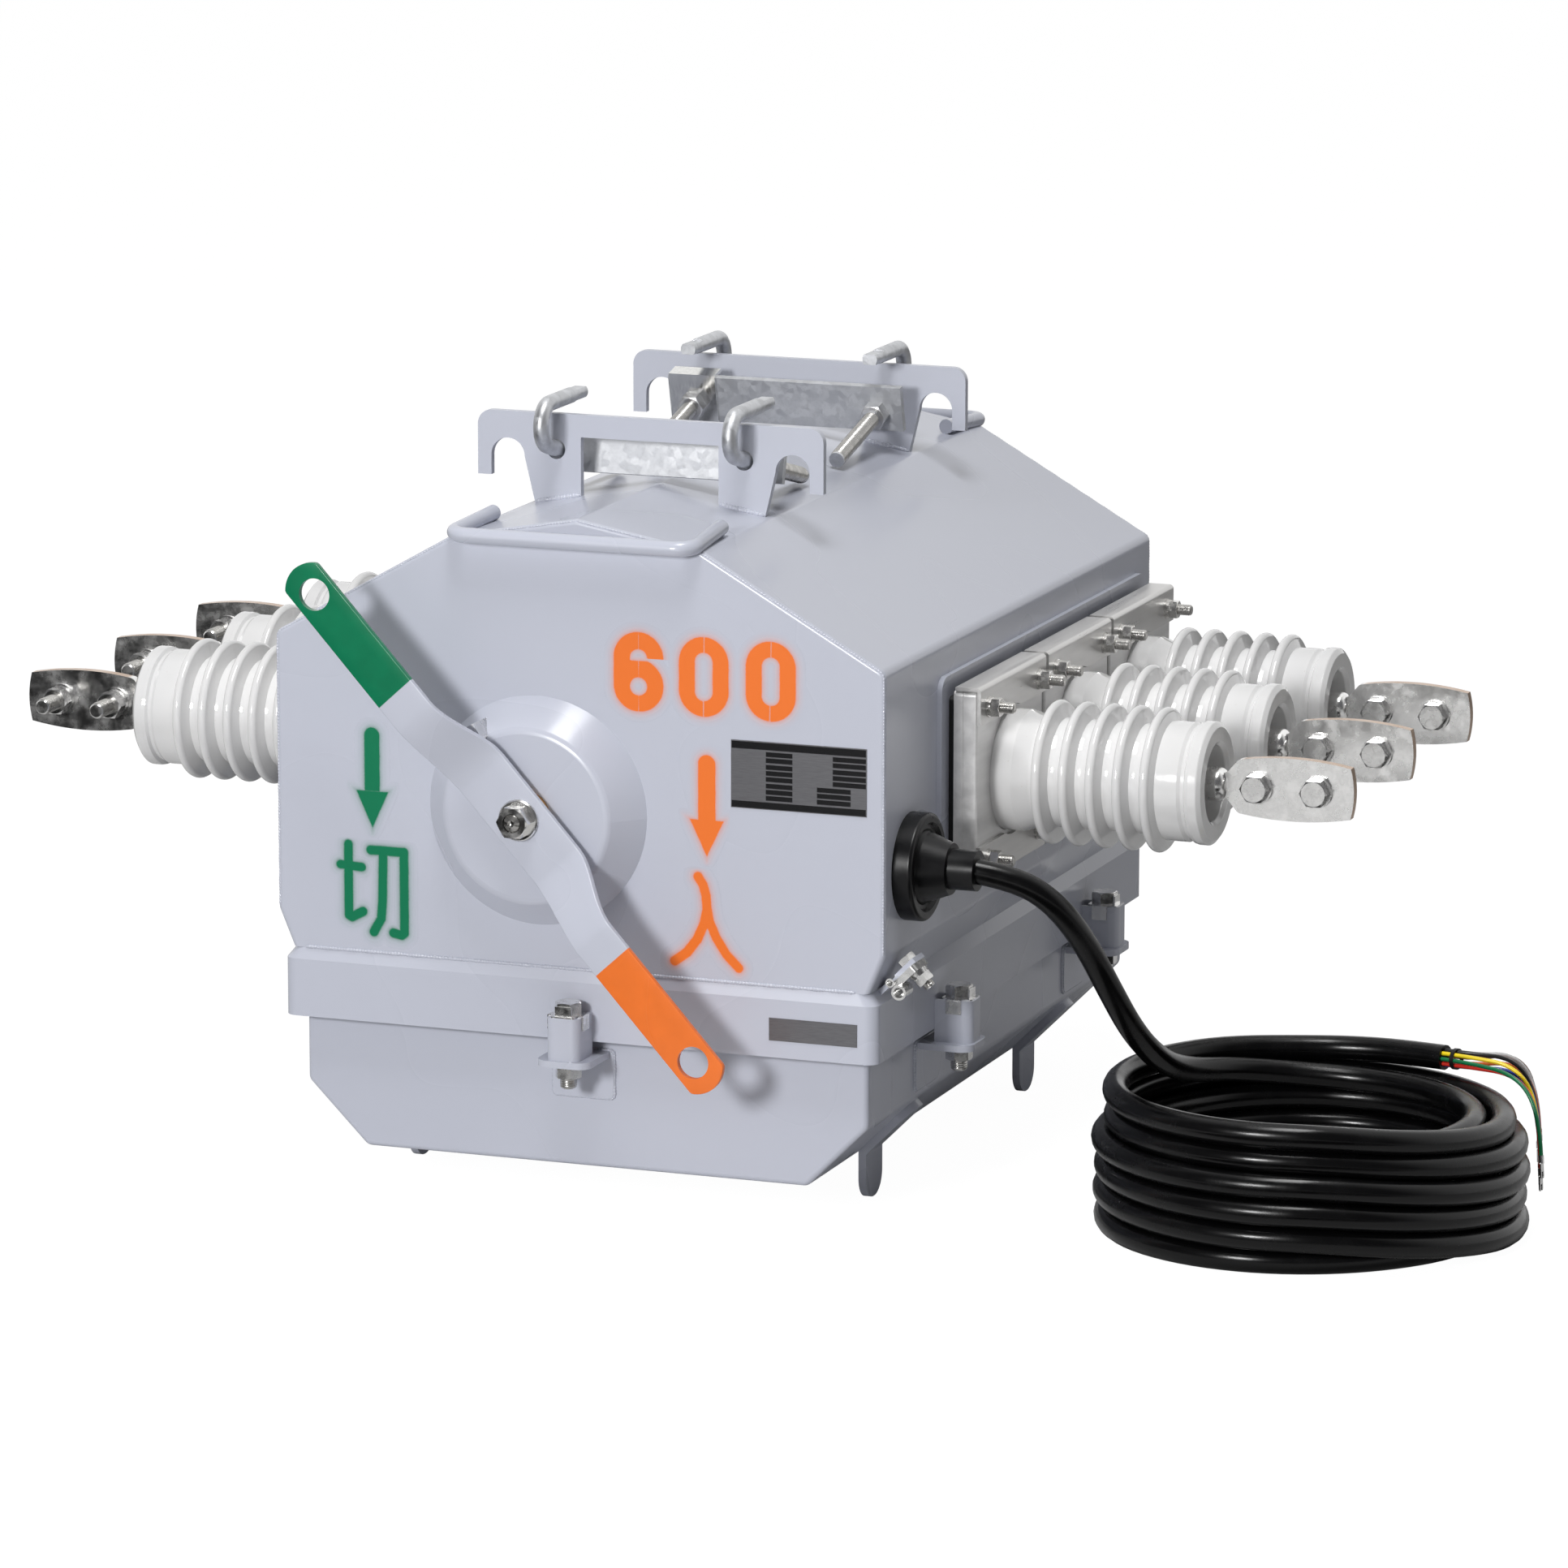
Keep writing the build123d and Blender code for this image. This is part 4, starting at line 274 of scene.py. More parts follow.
def thread_sleeve(start, direction, radius, length, pitch, depth):
    """A thread round a bolt: the radius is the bolt's plus a ridge whose height follows how far the length over
    the pitch, less the share of a turn, is from a whole number; the sleeve's inner side lies inside the bolt."""
    rows_a_pitch, steepness, root, clear = 8, 2.3, 0.08, 0.00003
    along, across, over = frame_along(direction)
    run = np.linspace(0, length, max(rows_a_pitch, int(round(length / pitch * rows_a_pitch))))
    turn = np.linspace(0, 2 * np.pi, THREAD_STEPS, endpoint=False)
    run_grid, turn_grid = np.meshgrid(run, turn, indexing="ij")
    wave = run_grid / pitch - turn_grid / (2 * np.pi)
    ridge = np.clip(steepness * np.abs(wave - np.round(wave)) - root, 0, 1)
    lead = np.clip(np.minimum(run_grid, length - run_grid) / pitch, 0, 1)
    height = radius + clear + depth * ridge * lead
    inside = np.full(THREAD_STEPS, 0.9 * radius)
    run_grid = np.vstack([np.full(THREAD_STEPS, run[0]), run_grid, np.full(THREAD_STEPS, run[-1])])
    height = np.vstack([inside, height, inside])
    turn_grid = np.vstack([turn, turn_grid, turn])
    spoke = np.cos(turn_grid)[..., None] * across + np.sin(turn_grid)[..., None] * over
    return np.asarray(start) + run_grid[..., None] * along + height[..., None] * spoke


def turned(profile, place, direction):
    """A turned end: a profile of radius and reach in millimetres, carried round an axis."""
    along, across, over = frame_along(direction)
    radius, reach = np.array(profile).T / MM
    turn = np.linspace(0, 2 * np.pi, ROUND_STEPS, endpoint=False)
    spoke = np.cos(turn)[:, None] * across + np.sin(turn)[:, None] * over
    return np.asarray(place) + reach[:, None, None] * along + radius[:, None, None] * spoke


def bead_along(path, radius, ripple, closed, normal):
    """A weld bead along a path: a tube whose radius rises and falls with the sine of the length over the ripple,
    and again over a longer wave, and whose open ends narrow by a root to a point. The path's own steps give the
    direction, and normal is the upward side."""
    swell, sway, long_wave = 0.14, 0.10, 7.3
    path = np.asarray(path, float)
    follow = np.roll(path, -1, 0) if closed else np.vstack([path[1:], path[-1:]])
    before = np.roll(path, 1, 0) if closed else np.vstack([path[:1], path[:-1]])
    along = follow - before
    along /= np.linalg.norm(along, axis=1, keepdims=True)
    upward = np.broadcast_to(np.asarray(normal, float), path.shape)
    across = np.cross(along, upward)
    across /= np.linalg.norm(across, axis=1, keepdims=True)
    upward = np.cross(across, along)
    run = np.concatenate([[0], np.cumsum(np.linalg.norm(np.diff(path, axis=0), axis=1))])
    wave = 1 + swell * np.sin(2 * np.pi * run / ripple) + sway * np.sin(2 * np.pi * run / (ripple * long_wave) + 1)
    if not closed:
        wave = wave * np.sqrt(np.clip(np.minimum(run, run[-1] - run) / (2 * radius), 0.02, 1))
    turn = np.linspace(0, 2 * np.pi, BEAD_STEPS, endpoint=False)
    ring = np.cos(turn)[None, :, None] * across[:, None] + np.sin(turn)[None, :, None] * upward[:, None]
    tube = path[:, None] + (radius * wave)[:, None, None] * ring
    if closed:
        return tube
    start, end = (np.broadcast_to(point, tube[:1].shape) for point in (path[0], path[-1]))
    return np.concatenate([start, tube, end])


def divided(corners, step):
    """Points along straight runs, a step apart."""
    corners = np.asarray(corners, float)
    runs = [np.linspace(a, b, max(2, int(np.linalg.norm(b - a) / step)), endpoint=False)
            for a, b in zip(corners, corners[1:])]
    return np.vstack(runs + [corners[-1:]])


def rounded_outline(corners, radius, step, closed=False):
    """An outline with its corners turned by curves whose weights are (1-t) squared, 2t(1-t) and t squared."""
    corners = [np.asarray(corner, float) for corner in corners]
    share = np.linspace(0, 1, 9)[:, None]
    points = []
    inner = corners if closed else corners[1:-1]
    before = corners[-1:] + corners[:-1] if closed else corners[:-2]
    after = corners[1:] + corners[:1] if closed else corners[2:]
    for last, corner, following in zip(before, inner, after):
        a = corner + (last - corner) / np.linalg.norm(last - corner) * radius
        b = corner + (following - corner) / np.linalg.norm(following - corner) * radius
        points += list((1 - share) ** 2 * a + 2 * share * (1 - share) * corner + share**2 * b)
    if closed:
        points.append(points[0])
    else:
        points = [corners[0]] + points + [corners[-1]]
    return divided(points, step)


# Materials: a colour and a roughness each, varied by noise over the piece's own coordinates. Noise scales are
# cells a metre, and relief depths are in metres


# The least roughness that a worn patch may reach
LEAST_DULL = 0.04


def node(tree, kind, inputs=None, **attributes):
    """A shader node. Inputs maps a socket to a value, or to the output that feeds it."""
    made = tree.nodes.new("ShaderNode" + kind)
    for key, value in attributes.items():
        setattr(made, key, value)
    for key, value in (inputs or {}).items():
        if isinstance(value, bpy.types.NodeSocket):
            tree.links.new(value, made.inputs[key])
        else:
            made.inputs[key].default_value = value
    return made


def material(name, color, roughness, metallic=0.0, **sockets):
    """A principled material, with its own values set on its sockets."""
    made = bpy.data.materials.new(name)
    made.use_nodes = True
    made.diffuse_color = (*color, 1)
    shader = made.node_tree.nodes["Principled BSDF"]
    values = {"Base Color": (*color, 1), "Roughness": roughness, "Metallic": metallic, **sockets}
    for key, value in values.items():
        shader.inputs[key].default_value = value
    return made, made.node_tree, shader


def feed(shader, tone, dull, bump):
    """Leads a colour, a roughness and a bump into a principled shader."""
    for output, socket in ((tone, "Base Color"), (dull, "Roughness"), (bump, "Normal")):
        shader.id_data.links.new(output, shader.inputs[socket])


def shaded(color, share):
    """A colour times a share."""
    return [share * part for part in color]


def object_coordinates(tree, scale=None):
    """The piece's own coordinates, stretched where a pattern runs one way."""
    coordinates = node(tree, "TexCoord").outputs["Object"]
    if scale is None:
        return coordinates
    return node(tree, "Mapping", {"Vector": coordinates, "Scale": scale}).outputs["Vector"]


def noise(tree, coordinates, scale, detail, roughness=0.5):
    """Cloudy noise of a number of cells a metre."""
    values = {"Vector": coordinates, "Scale": scale, "Detail": detail, "Roughness": roughness}
    return node(tree, "TexNoise", values).outputs["Fac"]


def between(tree, value, low, high, at_low, at_high):
    """A value's place between low and high, as a number from at_low to at_high."""
    values = {"Value": value, "From Min": low, "From Max": high, "To Min": at_low, "To Max": at_high}
    return node(tree, "MapRange", values).outputs["Result"]


def blend_colors(tree, share, first, second):
    """Two colours mixed by a share that varies over the surface."""
    first = first if isinstance(first, bpy.types.NodeSocket) else (*first, 1)
    second = second if isinstance(second, bpy.types.NodeSocket) else (*second, 1)
    return node(tree, "Mix", {0: share, 6: first, 7: second}, data_type="RGBA").outputs[2]


def relief(tree, height, distance):
    """A bump of a height in metres."""
    return node(tree, "Bump", {"Height": height, "Distance": distance, "Strength": 1.0}).outputs["Normal"]


def gloss_paint(name, color, roughness=0.27):
    """Sprayed gloss paint: a little darker and duller in patches, with fine orange peel."""
    made, tree, shader = material(name, color, roughness, **{
        "Coat Weight": 0.2, "Coat Roughness": 0.16, "Specular IOR Level": 0.4})
    coordinates = object_coordinates(tree)
    patches = noise(tree, coordinates, 4.0, 1.0)
    tone = blend_colors(tree, patches, shaded(color, 0.98), color)
    peel = relief(tree, noise(tree, coordinates, 240.0, 1.0), 0.000006)
    dull = between(tree, noise(tree, coordinates, 9.0, 0.0), 0, 1, roughness - 0.02, roughness + 0.03)
    feed(shader, tone, dull, peel)
    return made, tree, shader, tone


def lever_paint(paints):
    """Case paint with a green band at the arm's upper end and an orange one at its lower end. The distance along
    the arm is the dot product of the place from the pivot with the arm's direction."""
    made, tree, shader, tone = gloss_paint("lever_gloss", tuple(paints.case_color))
    direction = (math.cos(LEVER_ANGLE), 0, math.sin(LEVER_ANGLE))
    offset = PIVOT[0] * direction[0] + PIVOT[1] * direction[2]
    along = node(tree, "VectorMath", {0: object_coordinates(tree), 1: direction}, operation="DOT_PRODUCT")
    along = along.outputs["Value"]
    cloud = noise(tree, object_coordinates(tree), 60.0, 3.0)
    green, orange = tuple(paints.off_color), tuple(paints.on_color)
    green = blend_colors(tree, between(tree, cloud, 0.3, 0.7, 0, 1), green, shaded(green, 0.88))
    orange = blend_colors(tree, between(tree, cloud, 0.3, 0.7, 0, 1), orange, shaded(orange, 0.93))
    for way, band in ((1, green), (-1, orange)):
        start, full = offset + way * BAND_REACH, offset + way * (BAND_REACH + BAND_FADE)
        tone = blend_colors(tree, between(tree, along, start, full, 0, 1), tone, band)
    tree.links.new(tone, shader.inputs["Base Color"])
    return made


def porcelain(paints):
    """White glaze: a clear gloss over a body whose white varies slightly, with slow sags from the firing."""
    color = tuple(paints.glaze_color)
    made, tree, shader = material(
        "white_glaze", color, 0.09, **{"Coat Weight": 0.5, "Coat Roughness": 0.03, "IOR": 1.52})
    coordinates = object_coordinates(tree)
    cloud = between(tree, noise(tree, coordinates, 16.0, 4.0), 0.35, 0.7, 0, 1)
    tone = blend_colors(tree, cloud, color, [0.965 * color[0], 0.968 * color[1], 0.975 * color[2]])
    specks = noise(tree, coordinates, 420.0, 1.0)
    tone = blend_colors(tree, between(tree, specks, 0.77, 0.80, 0, 0.35), tone, (0.45, 0.40, 0.34))
    sag = relief(tree, noise(tree, coordinates, 38.0, 2.0), 0.00045)
    dull = between(tree, noise(tree, coordinates, 60.0, 2.0), 0.4, 0.7, 0.06, 0.14)
    feed(shader, tone, dull, sag)
    return made


def brushed_metal(name, color, roughness, scale=(60, 1400, 220), depth=0.00002, metallic=1.0):
    """Rolled or brushed sheet: long streaks in tone, gloss and height, with slow cloudy patches."""
    made, tree, shader = material(name, color, roughness, metallic)
    streaks = noise(tree, object_coordinates(tree, scale), 1.0, 3.0)
    clouds = noise(tree, object_coordinates(tree), 34.0, 4.0)
    tone = blend_colors(tree, between(tree, streaks, 0.35, 0.65, 0, 1), shaded(color, 0.88), color)
    tone = blend_colors(tree, between(tree, clouds, 0.5, 0.75, 0, 0.25), tone, shaded(color, 0.82))
    dull = between(tree, streaks, 0.3, 0.7, max(LEAST_DULL, roughness - 0.07), roughness + 0.09)
    feed(shader, tone, dull, relief(tree, streaks, depth))
    return made


def hot_dip_zinc(name, color, roughness, cloud=60.0, shade=0.62):
    """Hot-dip zinc: each crystal is the area nearest to one of many scattered points and has its own brightness,
    under darker clouds, and the coat is slightly lumpy."""
    made, tree, shader = material(name, color, roughness, 0.92)
    coordinates = object_coordinates(tree)
    crystals = node(tree, "TexVoronoi", {"Vector": coordinates, "Scale": 170.0}).outputs["Color"]
    crystals = node(tree, "SeparateColor", {"Color": crystals}).outputs[0]
    clouds = noise(tree, coordinates, cloud, 5.0, 0.65)
    tone = blend_colors(tree, crystals, shaded(color, 0.80), color)
    tone = blend_colors(tree, between(tree, clouds, 0.48, 0.66, 0, 0.6), tone, shaded(color, shade))
    dull = between(tree, crystals, 0, 1, roughness - 0.09, roughness + 0.12)
    feed(shader, tone, dull, relief(tree, noise(tree, coordinates, 190.0, 3.0), 0.00016))
    return made


def bright_fastener(name, color, roughness):
    """Turned or pressed bright steel: fine tool marks and a few duller patches."""
    made, tree, shader = material(name, color, roughness, 1.0)
    coordinates = object_coordinates(tree)
    marks = noise(tree, coordinates, 900.0, 3.0)
    patches = noise(tree, coordinates, 130.0, 3.0)
    tone = blend_colors(tree, between(tree, patches, 0.45, 0.7, 0, 0.6), color, shaded(color, 0.62))
    dull = between(tree, patches, 0.35, 0.7, max(LEAST_DULL, roughness - 0.05), roughness + 0.14)
    feed(shader, tone, dull, relief(tree, marks, 0.00001))
    return made


def tinned_palm():
    """Tinned copper: soft cloudy tin, with bare copper on the sheared narrow sides of the palms, which are where
    the surface doesn't face along Y and X is past the neck."""
    color, neck_end = (0.90, 0.895, 0.885), 0.449
    made, tree, shader = material("tinned_copper_palm", color, 0.24, 1.0)
    coordinates = object_coordinates(tree)
    clouds = noise(tree, coordinates, 75.0, 5.0, 0.6)
    spots = noise(tree, coordinates, 420.0, 2.0)
    tone = blend_colors(tree, between(tree, clouds, 0.42, 0.62, 0, 0.8), color, (0.76, 0.755, 0.745))
    tone = blend_colors(tree, between(tree, spots, 0.66, 0.72, 0, 0.35), tone, (0.55, 0.54, 0.52))
    facing = node(tree, "SeparateXYZ", {0: node(tree, "TexCoord").outputs["Normal"]}).outputs["Y"]
    facing = node(tree, "Math", {0: facing}, operation="ABSOLUTE").outputs[0]
    reach = node(tree, "SeparateXYZ", {0: coordinates}).outputs["X"]
    reach = node(tree, "Math", {0: reach}, operation="ABSOLUTE").outputs[0]
    sheared = node(tree, "Math", {
        0: between(tree, facing, 0.35, 0.65, 1, 0), 1: between(tree, reach, neck_end, neck_end + 0.003, 0, 1),
    }, operation="MULTIPLY").outputs[0]
    tone = blend_colors(tree, sheared, tone, (0.50, 0.36, 0.26))
    feed(shader, tone, between(tree, clouds, 0.35, 0.7, 0.15, 0.36), relief(tree, clouds, 0.00005))
    return made


def bare_metal(name, color, roughness):
    """Copper or brass, with tarnish in soft patches and fine turning marks."""
    made, tree, shader = material(name, color, roughness, 1.0)
    coordinates = object_coordinates(tree)
    tarnish = noise(tree, coordinates, 90.0, 5.0)
    tone = blend_colors(tree, between(tree, tarnish, 0.4, 0.7, 0, 0.8), color, shaded(color, 0.5))
    dull = between(tree, tarnish, 0.35, 0.7, roughness, roughness + 0.2)
    feed(shader, tone, dull, relief(tree, noise(tree, coordinates, 1100.0, 2.0), 0.00002))
    return made


def rubber(name, color, roughness, grain, coat):
    """Moulded or extruded rubber: fine grain, with dusty patches that shine less."""
    made, tree, shader = material(name, color, roughness, **{
        "Coat Weight": coat, "Coat Roughness": 0.12, "Specular IOR Level": 0.3})
    coordinates = object_coordinates(tree)
    dust = noise(tree, coordinates, 28.0, 5.0, 0.6)
    dusty = [1.8 * part + 0.001 for part in color]
    tone = blend_colors(tree, between(tree, dust, 0.5, 0.78, 0, 0.6), color, dusty)
    dull = between(tree, dust, 0.35, 0.75, roughness, roughness + 0.16)
    feed(shader, tone, dull, relief(tree, noise(tree, coordinates, grain, 2.0), 0.00003))
    return made


def moulded(name, color, roughness):
    """Moulded resin or core insulation, a little uneven in tone and gloss."""
    made, tree, shader = material(name, color, roughness, **{"Coat Weight": 0.2, "Coat Roughness": 0.2})
    coordinates = object_coordinates(tree)
    cloud = noise(tree, coordinates, 120.0, 3.0)
    tone = blend_colors(tree, between(tree, cloud, 0.4, 0.7, 0, 0.6), color, shaded(color, 0.8))
    dull = between(tree, cloud, 0.35, 0.7, roughness, roughness + 0.12)
    feed(shader, tone, dull, relief(tree, noise(tree, coordinates, 800.0, 2.0), 0.00002))
    return made


def give(nodes, finish):
    """Puts a material on each slot of the named CAD nodes."""
    for name in nodes:
        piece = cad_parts[name]
        if not piece.material_slots:
            piece.data.materials.append(finish)
        for place in piece.material_slots:
            place.material = finish


# Stage


def camera_axes(stage):
    """The camera's right, up and backward directions from its yaw, pitch and roll."""
    back = np.array([
        math.sin(stage.yaw) * math.cos(stage.pitch), -math.cos(stage.yaw) * math.cos(stage.pitch),
        math.sin(stage.pitch)])
    right = np.cross([0, 0, 1], back)
    right /= np.linalg.norm(right)
    up = np.cross(back, right)
    rolled_right = right * math.cos(stage.roll) + up * math.sin(stage.roll)
    return rolled_right, up * math.cos(stage.roll) - right * math.sin(stage.roll), back


def soft_light(name, place, aim, size, power):
    """A rectangular area light that faces a point."""
    data = bpy.data.lights.new(name, "AREA")
    data.shape = "RECTANGLE"
    data.size, data.size_y = size
    data.energy = power
    back, across, over = frame_along(np.asarray(place, float) - np.asarray(aim, float))
    set_axes(linked(name, data), across, over, back, place)


def seen_directly(tree):
    """One for rays straight from the camera or through something clear, and nought for all others."""
    ray = node(tree, "LightPath").outputs
    rays = {0: ray["Is Camera Ray"], 1: ray["Is Transmission Ray"]}
    return node(tree, "Math", rays, operation="MAXIMUM").outputs[0]


class SWITCH_OT_stage(bpy.types.Operator):
    """Sets the camera, the lights, the world and the pale floor"""

    bl_idname = "air_switch.stage"
    bl_label = "Stage"

    def execute(self, context):
        stage = context.scene.air_switch_stage
        right, up, back = camera_axes(stage)
        data = bpy.data.cameras.new("camera")
        data.sensor_width = 36
        data.lens = stage.lens
        data.shift_x = SHIFT_PIXELS / VIEW_PIXELS
        data.clip_end = 200
        camera = linked("camera", data)
        set_axes(camera, right, up, back, np.array(stage.target) + stage.distance * back)
        context.scene.camera = camera
        soft_light("key_light", (-0.45, -4.35, 1.45), (0, 0, 0.3), (0.7, 0.7), stage.key_power)
        soft_light("top_light", (0.4, -0.9, 3.3), (0.1, 0, 0.3), (1.5, 0.9), stage.top_power)
        self.flag("front_flag", (-5.0, -6.0), (-0.15, -0.40))
        self.flag("side_flag", (0.25, -1.10), (1.30, -0.40))
        self.room(context.scene, stage.ambient)
        self.floor()
        context.scene.view_settings.view_transform = "Standard"
        return {"FINISHED"}

    def room(self, scene, strength):
        """A white room to the camera, white behind the object and dim before it to reflections, and a plain grey
        light to everything else."""
        world = scene.world or bpy.data.worlds.new("room")
        scene.world = world
        world.use_nodes = True
        tree = world.node_tree
        tree.nodes.clear()
        glossy = node(tree, "LightPath").outputs["Is Glossy Ray"]
        behind = node(tree, "SeparateXYZ", {0: node(tree, "TexCoord").outputs["Generated"]}).outputs["Y"]
        sky = blend_colors(tree, between(tree, behind, -0.35, 0.25, 0, 1), (0.10, 0.10, 0.105), (1, 1, 1))
        light = node(tree, "Background", {"Color": (1, 1, 1, 1), "Strength": strength})
        mirror = node(tree, "Background", {"Color": sky, "Strength": 1.0})
        white = node(tree, "Background", {"Color": (1, 1, 1, 1), "Strength": 1.0})
        first = node(tree, "MixShader", {0: glossy, 1: light.outputs[0], 2: mirror.outputs[0]})
        second = node(tree, "MixShader", {0: seen_directly(tree), 1: first.outputs[0], 2: white.outputs[0]})
        output = node(tree, "OutputWorld")
        tree.links.new(second.outputs[0], output.inputs["Surface"])

    def flag(self, name, low, high):
        """A black sheet laid flat before the object, seen only by reflections, as a studio uses for contrast."""
        over_floor = 0.0002
        corners = [(x, y, over_floor) for x, y in (low, (high[0], low[1]), high, (low[0], high[1]))]
        mesh = bpy.data.meshes.new(name)
        mesh.from_pydata(corners, [], [(0, 1, 2, 3)])
        mesh.materials.append(material(name, (0.012, 0.012, 0.012), 1.0, **{"Specular IOR Level": 0.0})[0])
        sheet = linked(name, mesh)
        sheet.visible_camera = False
        sheet.visible_diffuse = False
        sheet.visible_shadow = False
        sheet.visible_transmission = False

    def floor(self):
        """A wide pale floor that looks near white and keeps the object's shadow."""
        rings, drop = np.array([0.0, 3.0, 60.0])[:, None], 0.0004
        turn = np.linspace(0, 2 * np.pi, ROUND_STEPS, endpoint=False)
        flat = np.stack([rings * np.cos(turn), rings * np.sin(turn), np.full((3, ROUND_STEPS), -drop)], -1)
        mesh = bpy.data.meshes.new("floor")
        faces = grid_faces(3, ROUND_STEPS, False, True)[:, ::-1]
        mesh.from_pydata(flat.reshape(-1, 3).tolist(), [], faces.tolist())
        made, tree, shader = material("pale_floor", (0.62, 0.62, 0.62), 0.85, **{"Specular IOR Level": 0.1})
        share = node(tree, "Math", {0: seen_directly(tree), 1: 0.84}, operation="MULTIPLY").outputs[0]
        glow = node(tree, "Emission", {"Color": (1, 1, 1, 1), "Strength": 1.16})
        mixed = node(tree, "MixShader", {0: share, 1: shader.outputs[0], 2: glow.outputs[0]})
        tree.links.new(mixed.outputs[0], tree.nodes["Material Output"].inputs["Surface"])
        mesh.materials.append(made)
        linked("floor", mesh)


# Cable


def cord_curve(name, points, diameter, finish):
    """A smooth round cord: a NURBS curve of order 3 through its end points, drawn by its control points."""
    thick = diameter > 0.01
    data = bpy.data.curves.new(name, "CURVE")
    data.dimensions = "3D"
    data.bevel_depth = diameter / 2
    data.bevel_resolution = 6 if thick else 3
    data.resolution_u = 5 if thick else 6
    data.use_fill_caps = True
    spline = data.splines.new("NURBS")
    spline.points.add(len(points) - 1)
    spline.points.foreach_set("co", np.hstack([points, np.ones((len(points), 1))]).astype(float).ravel())
    spline.order_u = 3
    spline.use_endpoint_u = True
    data.materials.append(finish)
    cord = linked(name, data)
    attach(cord, "housing")
    return cord


# Control points from the gland to the coil, and from the coil to the sheath's end, in metres
CABLE_ROUTE = (
    (0.289, -0.238, 0.2725),
    (0.320, -0.232, 0.2675),
    (0.346, -0.223, 0.2505),
    (0.364, -0.206, 0.2195),
    (0.376, -0.183, 0.1795),
    (0.386, -0.157, 0.1420),
    (0.395, -0.120, 0.1125),
    (0.404, -0.080, 0.0970),
)
TAIL_ROUTE = (
    (0.478, 0.0045, 0.1020),
    (0.510, 0.0085, 0.1030),
    (0.546, 0.0060, 0.1040),
    (0.582, -0.0046, 0.1050),
)
# Turns wound since the cable came down on the coil, with the height and the radius there in millimetres: down
# the inner side, across the floor, up the outer side, and round once more on top
COIL_TURNS = 10.1
COIL_HEIGHTS = (
    (0, 97), (0.15, 84), (0.80, 84), (0.97, 67.4), (1.80, 67.4), (1.97, 48.1), (2.80, 48.1), (2.97, 28.8),
    (3.80, 28.8), (3.97, 9.5), (5.45, 9.5), (5.62, 28.8), (6.45, 28.8), (6.62, 48.1), (7.45, 48.1),
    (7.62, 67.4), (8.45, 67.4), (8.62, 84), (9.45, 84), (9.62, 103.2), (10.2, 103.2),
)
COIL_RADII = (
    (0, 125.1), (0.15, 121), (0.80, 121), (0.97, 130.5), (4.58, 130.5), (4.80, 151), (6.45, 150.4),
    (7.45, 151.3), (8.45, 151.3), (8.62, 142), (9.62, 142.5), (10.0, 145.5), (10.136, 142.6),
)
# Each level of turns lies a little aside from the one under it
COIL_LEVELS = (9.5, 28.8, 48.1, 67.4, 84, 103.2)
LEVEL_RIGHT = (0, -2.0, 0.2, -2.4, -2.4, -0.8)
LEVEL_BACK = (0, 1.6, -1.6, 0.8, 0.8, 0)
SHEATH_END = np.array(TAIL_ROUTE[-1])
CORE_COLORS = {
    "yellow": (0.92, 0.70, 0.01), "green": (0.003, 0.17, 0.06), "red": (0.75, 0.03, 0.015),
    "blue": (0.004, 0.03, 0.33), "orange": (0.80, 0.16, 0.02), "brown": (0.17, 0.06, 0.022),
    "black": (0.012, 0.012, 0.013), "white": (0.72, 0.72, 0.72),
}
# From the first core, at the inner side of the sheath, round to the last
CORE_ORDER = ("green", "red", "yellow", "blue", "black", "orange", "white", "brown")
CORE_RING = 0.0056
# For the first core and the last, from the coil's middle: over the coil's edge, below it, and the core's tip
CORE_ROUTES = (
    ((0.1284, 0.0975, 0.104), (0.1484, 0.0875, 0.078), (0.1514, 0.0835, 0.040)),
    ((0.1084, 0.1635, 0.104), (0.1224, 0.1775, 0.078), (0.1214, 0.1875, 0.040)),
)


class SWITCH_OT_cable(bpy.types.Operator):
    """Lays the control cable and its coil: each turn's points lie at a radius and height that follow from how
    many turns are wound"""

    bl_idname = "air_switch.cable"
    bl_label = "Cable and coil"

    def execute(self, context):
        cable = context.scene.air_switch_cable
        turns = np.arange(1, int(COIL_TURNS * cable.turn_points) + 1) / cable.turn_points
        level = np.interp(turns, *zip(*COIL_HEIGHTS))
        aside = np.interp(level, COIL_LEVELS, LEVEL_RIGHT) / MM
        behind = np.interp(level, COIL_LEVELS, LEVEL_BACK) / MM
        # A curve of order 3 runs a little inside its control points
        inside = (3 + math.cos(2 * math.pi / cable.turn_points)) / 4
        radius = np.interp(turns, *zip(*COIL_RADII)) / MM / inside
        turn = cable.entry_angle - 2 * np.pi * turns
        middle = np.array(cable.coil_middle)
        coil = np.stack([
            middle[0] + aside + radius * np.cos(turn), middle[1] + behind + radius * np.sin(turn),
            level / MM], -1)
        points = np.vstack([CABLE_ROUTE, coil, TAIL_ROUTE])
        sheath = rubber("cable_sheath", (0.0018, 0.0018, 0.002), 0.18, 500.0, 0.0)
        cord = cord_curve("control_cable", points, cable.diameter, sheath)
        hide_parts("cable", "cable_coil", "cable_tail")
        return {"FINISHED"}


